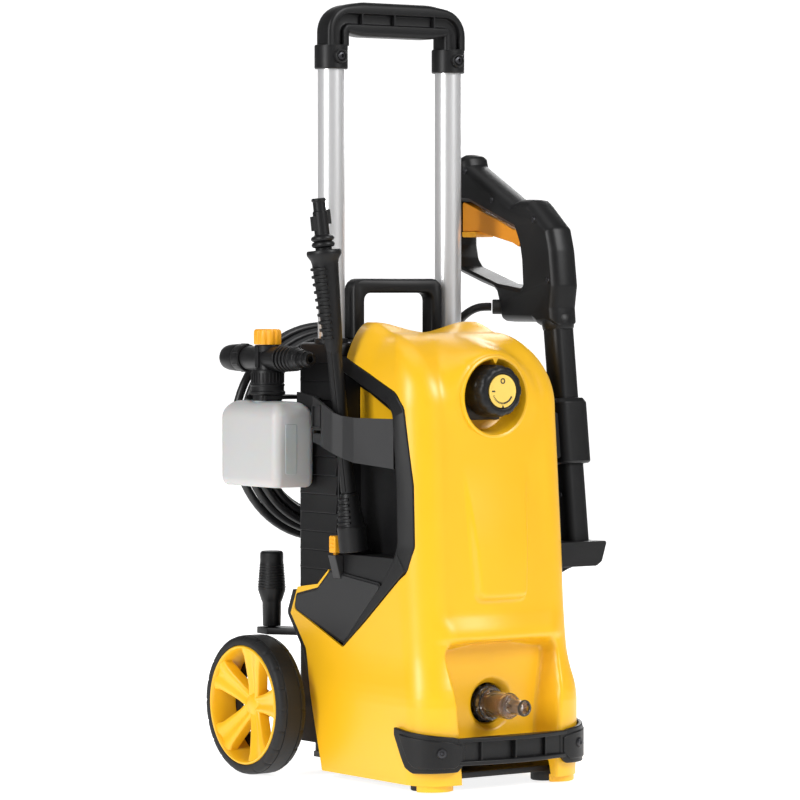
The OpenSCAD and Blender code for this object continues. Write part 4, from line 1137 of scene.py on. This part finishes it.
def add_knob():
    # Radius, height and how much of the flutes' depth is cut there
    profile = [(8, -29, 0), (26, -29, 0), (26.5, -28.4, 0), (26.5, -13, 0), (26.2, -12.2, 0.3),
               (26.3, -11, 1), (26.3, -5, 1), (24.6, -1.6, 1), (22, -0.1, 0.6), (20, 0, 0.1),
               (18.6, -0.1, 0), (17.6, -0.8, 0), (17.2, -2, 0), (0, -2, 0)]
    rings = []
    for r, h, flute in profile:
        def fluted(a):
            return r - FLUTE_DEPTH * flute * (0.5 - 0.5 * math.cos(KNOB_FLUTES * a)) ** 2

        rings.append(turned(fluted, h, 144) if r else [(0, 0, h)])
    place = facing_front(0, KNOB_FRONT, KNOB_Z)
    piece("selector_knob", Shape().rings(rings, place), black, "knob", ["selector_knob"])
    disc = [(0, 0.1), (14.9, 0.1), (15.1, 0.4), (16.4, 0.4), (16.8, 0), (16.8, -1.6)]
    piece("knob_dial_disc", Shape().lathe(disc, place, 96), dial_yellow, "knob", ["knob_dial_disc"])
    marks = Shape()
    ring = [(1.7, 0), (1.7, 0.3), (2.9, 0.3), (2.9, 0)]
    marks.lathe(ring, place @ move(0, 10.3, 0), 32, joined=True)
    marks.box((-13.6, -0.7, 0), (-9.6, 0.7, 0.3), place)
    for k in range(DIAL_TICKS):
        turn = math.radians(FIRST_TICK + TICK_STEP * k)
        half = 0.35 + 0.035 * k
        marks.box((11.4, -half, 0), (13.2, half, 0.3), place @ Matrix.Rotation(turn, 4, "Z"))
    marks.prism([(-1.6, -16.8), (1.6, -16.8), (0, -14.2)], 0, 0.6, place=place)
    piece("dial_marks", marks, ink, "knob")


add_knob()


def add_inlet():
    place = facing_front(0, 0, INLET_Z)
    outer = [(17, 168.4), (17, 178.2), (16.4, 179), (14.1, 179), (13.5, 180), (13.5, 207.6),
             (11.9, 208.8), (11.6, 209.4), (11.6, 212), (11, 212.6), (8.2, 212.8), (7.8, 213.6),
             (7.8, 231.7), (6.8, 231.9), (6.8, 234), (7.2, 234.3), (6.9, 235.5), (5.4, 235.6), (5, 235)]
    inner = [(5, 209), (10.6, 206.8), (11, 206), (11, 181), (14.4, 177), (14.4, 168.4)]
    piece("inlet_filter_housing", Shape().lathe(outer + inner, place, 72, joined=True), smoky,
          nodes=["inlet_filter_housing"])
    mesh = [(7, 170), (8, 170), (8, 206), (7, 206)]
    cage = Shape().lathe(mesh, place, 60, joined=True)
    for k in range(9):
        cage.lathe([(7.6, 172 + 4 * k), (8.8, 172 + 4 * k), (8.8, 173.3 + 4 * k), (7.6, 173.3 + 4 * k)],
                   place, 48, joined=True)
    piece("inlet_filter_screen", cage, screen, nodes=["inlet_filter_screen"])
    ring = [(7.1 + 1.35 * math.cos(a), 232.9 + 1.2 * math.sin(a))
            for a in (2 * math.pi * k / 12 for k in range(12))]
    piece("inlet_o_ring", Shape().lathe(ring, place, 60, joined=True), rubber, nodes=["inlet_o_ring"])
    collar = Shape().lathe([(14.8, 152), (18.5, 152), (18.5, 172.6), (17.7, 173.6), (17.3, 173.6),
                            (17.3, 166), (14.8, 166)], place, 72, joined=True)
    for k in range(12):
        collar.box((17.5, -2, 153), (19.6, 2, 171), place @ Matrix.Rotation(math.radians(30 * k), 4,
                                                                            "Z"))
    piece("inlet_collar", collar, black, "inlet_union", ["inlet_collar"], bevel=0.4)


add_inlet()

# ------------------------------------------------------------------ spray gun

GUN_X, GUN_HALF = 150, 17.5
gun_outline = [(92, 538), (92, 606), (86, 630), (71, 646), (56, 650.5), (47.7, 648), (45, 638.3),
               (-27.2, 600.3), (-32.5, 597), (-43.8, 600), (-62.9, 599.6), (-69, 595.3), (-94.8, 573.8),
               (-99.9, 569.5), (-106.7, 546.3), (-111.8, 508.4), (-108, 485.3), (-110, 466), (-76, 466),
               (-68, 470), (-12.1, 470), (-8.5, 487), (-3.2, 501), (2, 505), (27, 511.5), (63.3, 522.5)]
GUN_RADII = [14, 14, 14, 12, 7, 6, 3, 4, 5, 7, 7, 9, 6, 9, 30, 12, 8, 3, 4, 6, 8, 8, 6, 6, 12, 14]
gun_opening = [(69.6, 566), (69.6, 553), (65.9, 539), (56.9, 529), (29.9, 521.4), (-5.7, 511),
               (-52.5, 505), (-50.3, 536), (-46.8, 552), (-38, 569.5), (-12, 579), (42, 598.5),
               (66, 600)]
OPENING_RADII = [1, 8, 10, 10, 10, 10, 6, 8, 8, 5, 4, 6, 1.5]
trigger_slot = [(-39, 548), (-54, 554), (-54, 571), (-44, 574), (-28, 580), (0, 593), (50, 620),
                (68, 620), (72, 604), (69.6, 560), (0, 556)]
trigger_outline = [(62, 599), (56.9, 598), (-2.3, 578.6), (-27, 568.6), (-38, 567.6), (-47, 568),
                   (-51, 563), (-47.5, 557.5), (-41, 556.5), (-38.5, 549.5), (-27, 554.2), (28, 565.6),
                   (33, 567), (62, 567)]
gun_screws_at = [(49, 632), (0, 600), (-73.5, 578), (-98, 514)]


def add_gun():
    rings = []
    for depth, x in ((8.5, -GUN_HALF), (6.8, -GUN_HALF + 0.7), (3.2, -GUN_HALF + 3.6),
                     (0.8, -GUN_HALF + 8), (0, 0), (0.8, GUN_HALF - 8), (3.2, GUN_HALF - 3.6),
                     (6.8, GUN_HALF - 0.7), (8.5, GUN_HALF)):
        corners = inset(gun_outline, depth) if depth else gun_outline
        rings.append([(GUN_X + x, y, z)
                      for y, z in rounded(corners, [max(r - depth, 1.2) for r in GUN_RADII], 4)])
    body = Shape().rings(rings, end_caps=True)
    flare = [(GUN_X + x, rounded(inset(gun_opening, -d), OPENING_RADII, 4))
             for x, d in ((-30, 4), (-GUN_HALF, 4), (-GUN_HALF + 4, 0), (GUN_HALF - 4, 0),
                          (GUN_HALF, 4), (30, 4))]
    hole = Shape().rings([[(x, y, z) for y, z in outline] for x, outline in flare], end_caps=True)
    slot = Shape().prism(trigger_slot, GUN_X - 10.8, GUN_X + 10.8, "x")
    screws = [Shape().lathe([(0, -4), (3.6, -4), (3.6, 1.5), (0, 1.5)], along_x(y, z, GUN_X - GUN_HALF),
                            24) for y, z in gun_screws_at]
    seat = Shape().lathe([(0, 0), (8.2, 0), (8.2, 40), (0, 40)],
                         frame_along((148, -14, 486), (147.181, -13.426, 486)))
    piece("gun_body", body, black, nodes=["gun_body"], bevel=1.1, cuts=[hole, slot, *screws, seat])
    heads = Shape()
    for y, z in gun_screws_at:
        heads.lathe([(0, -1.2), (3.1, -1.2), (3.1, 1), (2.6, 1.4), (1.2, 1.2), (0, 0.4)],
                    frame_along((GUN_X - GUN_HALF, y, z), (GUN_X - GUN_HALF - 1, y, z))
                    @ move(0, 0, -0.9), 24)
    piece("gun_screws", heads, dark_steel, nodes=["gun_screws"])
    trigger = rounded(trigger_outline, [3, 4, 12, 6, 2, 2, 2, 2, 2, 1.5, 8, 4, 2, 1], 4)
    # The trigger wears yellow satin darkened by painted shade.
    piece("trigger", Shape().prism(trigger, GUN_X - 10, GUN_X + 10, "x"), yellow_satin_painted_shade, "trigger",
          ["trigger"], bevel=1.6, segments=3)
    lock = rounded([(34.5, 560.8), (60, 560.8), (60, 566.7), (34.5, 566.7)], [3, 2, 0.5, 0.5])
    piece("trigger_lock", Shape().prism(lock, GUN_X - 12, GUN_X + 12, "x"), yellow_satin,
          "trigger_lock", ["trigger_lock"], bevel=1.2)


add_gun()

BARREL_TOP, BARREL_TILT, BARREL_LOW = (150, -94, 466), math.radians(-6.9), -229


def squared(half, radius):
    """A square outline about the axis with rounded corners."""
    return rounded([(-half, -half), (half, -half), (half, half), (-half, half)], radius, 5)


def add_barrel():
    place = move(*BARREL_TOP) @ Matrix.Rotation(BARREL_TILT, 4, "X")
    bar, wall = squared(13.8, 8.6), squared(20, 11)

    def tapered(outline, levels):
        """The outline at each height, drawn in by the given amount."""
        rings = [[(x, y, z) for x, y in (inset(outline, t) if t else outline)] for z, t in levels]
        return Shape().rings(rings, place, end_caps=True)

    barrel = tapered(bar, [(BARREL_LOW, 1.6), (BARREL_LOW + 1.6, 0), (-150, 0), (-60, 0.2), (-6, 0.2),
                           (4, 0.2), (24, 2)])
    bore = Shape().lathe([(0, BARREL_LOW - 1), (5, BARREL_LOW - 1), (5, BARREL_LOW + 40),
                          (0, BARREL_LOW + 40)], place, 32)
    piece("gun_barrel", barrel, black, nodes=["gun_barrel"], bevel=0.5, cuts=[bore])
    neck = [(15.6, -4), (16.6, -2), (17.2, 4), (17, 10), (14, 14), (12, 14), (12, -4)]
    screw = [(0, 14.4), (1.2, 14.4), (1.8, 15), (3, 14.8), (3.4, 13), (0, 13)]
    piece("barrel_neck", Shape().lathe(neck, place, 48, joined=True), black)
    piece("barrel_screw", Shape().lathe(screw, place @ move(0, 0, -178) @ Matrix.Rotation(-math.pi / 2,
                                                                                          4, "Y"), 24),
          dark_steel)

    holder = tapered(wall, [(-146, 2), (-144, 0), (-82, 0), (-77, 3.5)])
    hole = Shape().prism(inset(bar, -0.7), -160, -60, place=place)
    arm = Shape().box((68.3 - GUN_X, -13, -140), (-17, 13, -92), place)
    piece("gun_collar_holder", holder, black, nodes=["gun_collar_holder"], bevel=0.8, cuts=[hole])
    piece("gun_collar_arm", arm, black, bevel=2)

    shelf = rounded([(101.8, 242), (171.5, 242), (173, 240), (167, 220.5), (160, 216), (101.8, 216)],
                    [0, 1, 1, 5, 6, 0], 4)
    cup = Shape().prism(shelf, -148, -92, "y")
    well = Shape().prism(inset(bar, -0.8), BARREL_LOW - 0.8, -150, place=place)
    piece("gun_rest_cup", cup, black, nodes=["gun_rest_cup"], bevel=1.5, cuts=[well])
    # Gusset under the cup: a quarter of an ellipse from the housing's side to the cup's floor
    bend = [(101.8 + 56 * (1 - math.cos(math.radians(a))), 184 + 34 * math.sin(math.radians(a)))
            for a in range(0, 91, 10)]
    gusset = [(101.8, 222), *bend, (160, 222)]
    piece("rest_cup_gusset", Shape().prism(gusset, -138, -102, "y"), black, bevel=1.2)


add_barrel()

# ------------------------------------------------------------------ spray lance and turbo nozzle

LANCE_LOW, LANCE_HIGH = (-95, -70.7, 236.6), (-128, -54.3, 597)


def ribbed(profile, rib_span, place, ribs, height, width, side_turn, half_arc, sides=72):
    """A turned grip whose ribs stand out over one arc only and leave a smooth spine beside it.

    width is a rib's share of its pitch, and the arc runs half_arc to either side of side_turn."""
    low, high = rib_span
    pitch = (high - low) / ribs
    table = [(z, r) for r, z in profile]
    rib_edges = (0.12, 0.2, 0.2 + width, 0.28 + width)
    heights = sorted({*(z for z, r in table), *(low + pitch * (k + d) for k in range(ribs)
                                                for d in rib_edges)})
    rings = []
    for z in heights:
        r = between(z, table)
        phase = (z - low) / pitch % 1
        proud = height if low < z < high and 0.19 <= phase <= 0.21 + width else 0

        def ribbed_radius(a):
            away = abs(math.remainder(a - side_turn, 2 * math.pi))
            return r + proud * (away < half_arc)

        rings.append(turned(ribbed_radius, z, sides))
    return Shape().rings(rings, place, end_caps=True)


def add_lance():
    place = frame_along(LANCE_LOW, LANCE_HIGH)
    # Turn of the camera's left in the lance's own frame
    left = place.inverted().to_3x3() @ Vector((-0.95, 0.3, 0))
    left_turn = math.atan2(left.y, left.x)
    tube = [(5, 4), (5, 60.5), (7.5, 60.5), (7.5, 205)]
    grip = [(7.6, 204), (9.8, 217), (13.6, 296), (14.6, 300), (17.8, 305), (18, 308), (17, 310),
            (9, 310)]
    spine = [(8.5, 310), (8.5, 312.5), (11, 313.2), (12, 315), (12, 316), (11, 317.8), (9, 318.6),
             (11, 319.6), (12, 321.2), (12, 322.2), (11, 324), (8.6, 325), (7.8, 326), (7.6, 349),
             (6.5, 350), (6.5, 359.4), (7.6, 360), (7.6, 362), (6.8, 363), (3.5, 363), (3.5, 358),
             (0, 358)]
    shaft = Shape().lathe([(0, 4)] + tube, place, 48)
    shaft.join(ribbed(grip, (218, 296), place, 10, 2.4, 0.34, left_turn, 1.3))
    shaft.lathe(spine, place, 56)
    for turn, z in ((left_turn + 0.2, 330), (left_turn + math.pi + 0.2, 336)):
        shaft.box((5, -3.4, z), (10.4, 3.4, z + 15), place @ Matrix.Rotation(turn, 4, "Z"))
    # Rails that make the lower tube look flat-sided
    for turn in (left_turn - 0.9, left_turn + 0.6):
        shaft.box((5, -2.4, 62), (8.1, 2.4, 206), place @ Matrix.Rotation(turn, 4, "Z"))
    piece("spray_lance", shaft, black, "lance", ["spray_lance"], bevel=0.4)
    nozzle = [(14.6, 0), (15.5, 1), (15.5, 25.4), (14.6, 26.6), (13.6, 28), (9.4, 58), (8.6, 60)]
    head = ribbed(nozzle, (28, 58), place, 5, 1.6, 0.34, left_turn, 1.2)
    piece("lance_nozzle", head, black, "lance_tip", ["lance_nozzle"], bevel=0.3)


add_lance()


def add_turbo():
    place = move(-95, 82, 150)
    profile = [(9, 0), (9.6, 1), (10, 25), (11, 27), (14.5, 38), (14.2, 44), (12.4, 66), (12.2, 70),
               (12.4, 71), (12.2, 77), (10.5, 79)]
    body = ribbed(profile, (40, 66), place, 9, 0.5, 0.3, 0, 4)
    piece("turbo_nozzle", body, black, "turbo", ["turbo_nozzle"], bevel=0.3)


add_turbo()

# ------------------------------------------------------------------ foam gun

FOAM_X, FOAM_Y, HEAD_Z = -124, 46, 433
CAP_RIBS, HEAD_RINGS, NOZZLE_FLATS = 28, 5, 6
DIAL_R, SCALLOPS = 14.3, 10


def bottle_ring(t, z):
    a, b = 25.4 - t, 53 - t
    corners = [(-a, -b), (a, -b), (a, b), (-a, b)]
    return [(FOAM_X - 0.4 + x, FOAM_Y + 0.5 + y, z) for x, y in rounded(corners, max(9 - 0.3 * t, 4),
                                                                        6)]


def add_bottle():
    levels = [(10, 301.4), (8, 300.4), (5, 300), (2.4, 301.2), (0.8, 304), (0, 309), (0, 330), (0, 371),
              (0.4, 375), (1.8, 379), (4.6, 383), (8.4, 386.4), (12.4, 388.2), (15.4, 388.6)]
    shape = Shape().rings([bottle_ring(t, z) for t, z in levels], end_caps=True)
    shape.lathe([(14.6, 386), (14.6, 400), (13, 400), (13, 386)], move(FOAM_X, FOAM_Y, 0), 48,
                joined=True)
    # A low upright panel on the front
    y0 = FOAM_Y - 52.4
    ridge = Shape().prism(rounded([(-137, 314), (-122.5, 314), (-122.5, 366), (-137, 366)], 2),
                          y0 - 0.5, y0 + 2, "y")
    piece("foam_bottle", shape, milky, "foam_gun", ["foam_bottle"], bevel=1.2, segments=3, angle=28)
    piece("bottle_ridges", ridge, milky, "foam_gun", bevel=0.8)


add_bottle()


def add_foam_head():
    upright = move(FOAM_X, FOAM_Y, 0)
    cap = [(14.8, 395), (14.8, 389), (15.4, 389), (15.4, 395), (17.6, 395), (18.6, 396), (18.6, 398.5),
           (17.4, 399.4), (17.4, 404), (18, 404.6), (18, 406), (17, 406.6), (16.8, 419), (16, 421),
           (12.4, 421), (12, 422), (12, 446), (0, 446)]
    shape = Shape().lathe(cap + [(0, 410), (14.8, 410)], upright, 72, joined=True)
    for k in range(CAP_RIBS):
        turn = Matrix.Rotation(2 * math.pi * k / CAP_RIBS, 4, "Z")
        shape.box((16.4, -0.7, 407.6), (17.6, 0.7, 418), upright @ turn)
    body = [(0, 81.4), (12.2, 81.4), (12.5, 80), (12.5, 20)]
    for k in range(HEAD_RINGS):
        y = 16 - 6 * k
        r = 14 - 0.35 * k
        body += [(11.4, y + 3.4), (r - 0.6, y + 3.2), (r, y + 2.6), (r, y + 0.6), (r - 0.6, y),
                 (11.2, y - 0.2)]
    body += [(10.4, -13.4), (9.8, -14), (9.4, -18), (7, -19), (7, -24), (8.4, -24.6), (8.4, -27.4),
             (7, -28), (7, -32.6), (6.4, -34), (3.4, -34), (3.4, -28), (0, -28)]
    level = along_y(FOAM_X, HEAD_Z)
    shape.lathe(body[::-1], level, 64)
    # Rib along the side and a boss for the dial
    shape.box((FOAM_X - 14, FOAM_Y - 3, 424), (FOAM_X - 9, FOAM_Y + 3, 446))
    shape.lathe([(0, 440), (13.4, 440), (13.4, 446.4), (12.6, 447), (0, 447)], upright, 56)
    piece("foam_head", shape, black, "foam_gun", ["foam_head"], bevel=0.3)
    rings = []
    for inward, z, depth in ((0.6, 447.4, 1.6), (0, 448.2, 1.6), (0, 460.6, 1.6), (0.8, 462.6, 1.4),
                             (2.4, 463.5, 0.6)):
        def scalloped(a):
            return DIAL_R - depth * (0.5 - 0.5 * math.cos(SCALLOPS * a)) ** 3 - inward

        rings.append(turned(scalloped, z, 120))
    dial = Shape().rings(rings, upright, end_caps=True)
    piece("foam_dial", dial, yellow_satin, "foam_dial", ["foam_dial"])
    fan = [(7.4, 82.4), (13, 82.4), (14.2, 83.2), (14.5, 85), (14.5, 95), (14, 96), (14.2, 97),
           (14.5, 98), (13.6, 114), (12.6, 119), (10, 122), (8, 122), (7, 118), (7.4, 102)]
    mouth = Shape().box((FOAM_X - 12, 115, HEAD_Z - 2.5), (FOAM_X + 12, 128, HEAD_Z + 2.5))
    nozzle = Shape().lathe(fan, level, 64, joined=True)
    piece("foam_fan_nozzle", nozzle, black, "foam_nozzle", ["foam_fan_nozzle"], bevel=0.4, cuts=[mouth])
    flats = Shape()
    for k in range(NOZZLE_FLATS):
        turn = Matrix.Rotation(math.radians(60 * k + 30), 4, "Z")
        flats.box((12.6, -2.2, 83.4), (15, 2.2, 94), level @ turn)
    piece("fan_nozzle_grips", flats, black, "foam_nozzle", bevel=0.8)


add_foam_head()

# ------------------------------------------------------------------ plain outer parts, inner drive

for node, material, bevel in (("carry_handle", black, 3), ("tube_guides", grey, 0.6),
                              ("base_chassis", black, 1), ("front_feet", rubber, 1.5),
                              ("axle", steel, 0.8), ("axle_washers", steel, 0.4),
                              ("outlet_connector", brass, 0.6), ("hose_hook", black, 2),
                              ("nozzle_holder", black, 1.2), ("cord_gland", rubber, 0.6),
                              ("gun_hose_inlet", rubber, 0.8)):
    skin(node, material, bevel=bevel)

inner_parts = {"motor_stator": motor_steel, "pump_head": cast_alloy, "pump_pistons": steel,
               "switch_box": grey, "capacitor": grey, "water_pipes": brass, "motor_rotor": copper,
               "cooling_fan": grey, "pump_wobble_plate": steel}
for node, material in inner_parts.items():
    body = "rotor" if node in ("motor_rotor", "cooling_fan", "pump_wobble_plate") else "root"
    skin(node, material, body, bevel=0.4, segments=1)

# ------------------------------------------------------------------ stage

# Metres: the floor's flat part and the radius of the rise round it
FLOOR_FLAT, FLOOR_RISE = 3.0, 6.0
WORLD_LIGHT = 0.16
# Name, place, size and power of each soft light; all of them look at LIGHTS_AIM
LIGHTS = (("key", (0.9, -2.6, 2.2), (1.0, 1.4), 66), ("left", (-2.6, -0.5, 1.4), (0.7, 1.8), 52),
          ("top", (0, 0.2, 2.8), (1.6, 1.6), 9), ("rim", (2.0, 1.8, 1.5), (0.6, 1.6), 18))
LIGHTS_AIM = (0, 0, 0.4)


def backdrop():
    """Pale material that glows in a strip under and behind the object as seen from the front left."""
    made = moulded("floor", None, (0.8, 0.8, 0.8), 0.8, grain=0.3, grain_size=2, mottle=0.01,
                   Emission_Color=(1, 1, 1, 1))
    tree = made.node_tree
    place = add_node(tree, "ShaderNodeNewGeometry")
    turned = add_node(tree, "ShaderNodeMapping", {"Rotation": (0, 0, CAMERA_AZIMUTH)})
    split = add_node(tree, "ShaderNodeSeparateXYZ")
    aside = add_node(tree, "ShaderNodeMath", operation="ABSOLUTE")
    spread = add_node(tree, "ShaderNodeMath", {1: -0.13}, operation="MULTIPLY_ADD")
    strip = add_node(tree, "ShaderNodeMapRange", {"From Min": 0.9, "From Max": 1.7, "To Min": 0.85,
                                                  "To Max": 0.0})
    front = add_node(tree, "ShaderNodeMapRange", {"From Min": -1.1, "From Max": -0.4})
    glow = add_node(tree, "ShaderNodeMath", operation="MULTIPLY")
    for start, end in ((place.outputs["Position"], turned.inputs["Vector"]),
                       (turned.outputs["Vector"], split.inputs[0]),
                       (split.outputs["X"], aside.inputs[0]), (split.outputs["Y"], spread.inputs[0]),
                       (aside.outputs[0], spread.inputs[2]), (spread.outputs[0], strip.inputs["Value"]),
                       (split.outputs["Y"], front.inputs["Value"]), (strip.outputs[0], glow.inputs[0]),
                       (front.outputs[0], glow.inputs[1]),
                       (glow.outputs[0], tree.nodes["Principled BSDF"].inputs["Emission Strength"])):
        tree.links.new(start, end)
    return made


def add_stage():
    """A seamless pale dish for a floor and soft studio light."""
    profile = [(0, 0), (FLOOR_FLAT, 0)]
    profile += [(FLOOR_FLAT + FLOOR_RISE * math.sin(a), FLOOR_RISE * (1 - math.cos(a)))
                for a in (math.radians(5 * k) for k in range(1, 19))]
    dish = Shape().lathe(profile, sides=96)
    mesh = bpy.data.meshes.new("floor")
    mesh.from_pydata(dish.points, [], dish.faces)
    mesh.shade_smooth()
    floor = linked("floor", mesh)
    floor.data.materials.append(backdrop())
    world = bpy.data.worlds.new("studio")
    bpy.context.scene.world = world
    world.use_nodes = True
    sky = world.node_tree.nodes["Background"].inputs
    sky["Color"].default_value = (1, 1, 1, 1)
    sky["Strength"].default_value = WORLD_LIGHT
    bpy.context.scene.view_settings.view_transform = "Standard"
    for name, place, size, power in LIGHTS:
        add_light(name, place, LIGHTS_AIM, size, power)


add_stage()
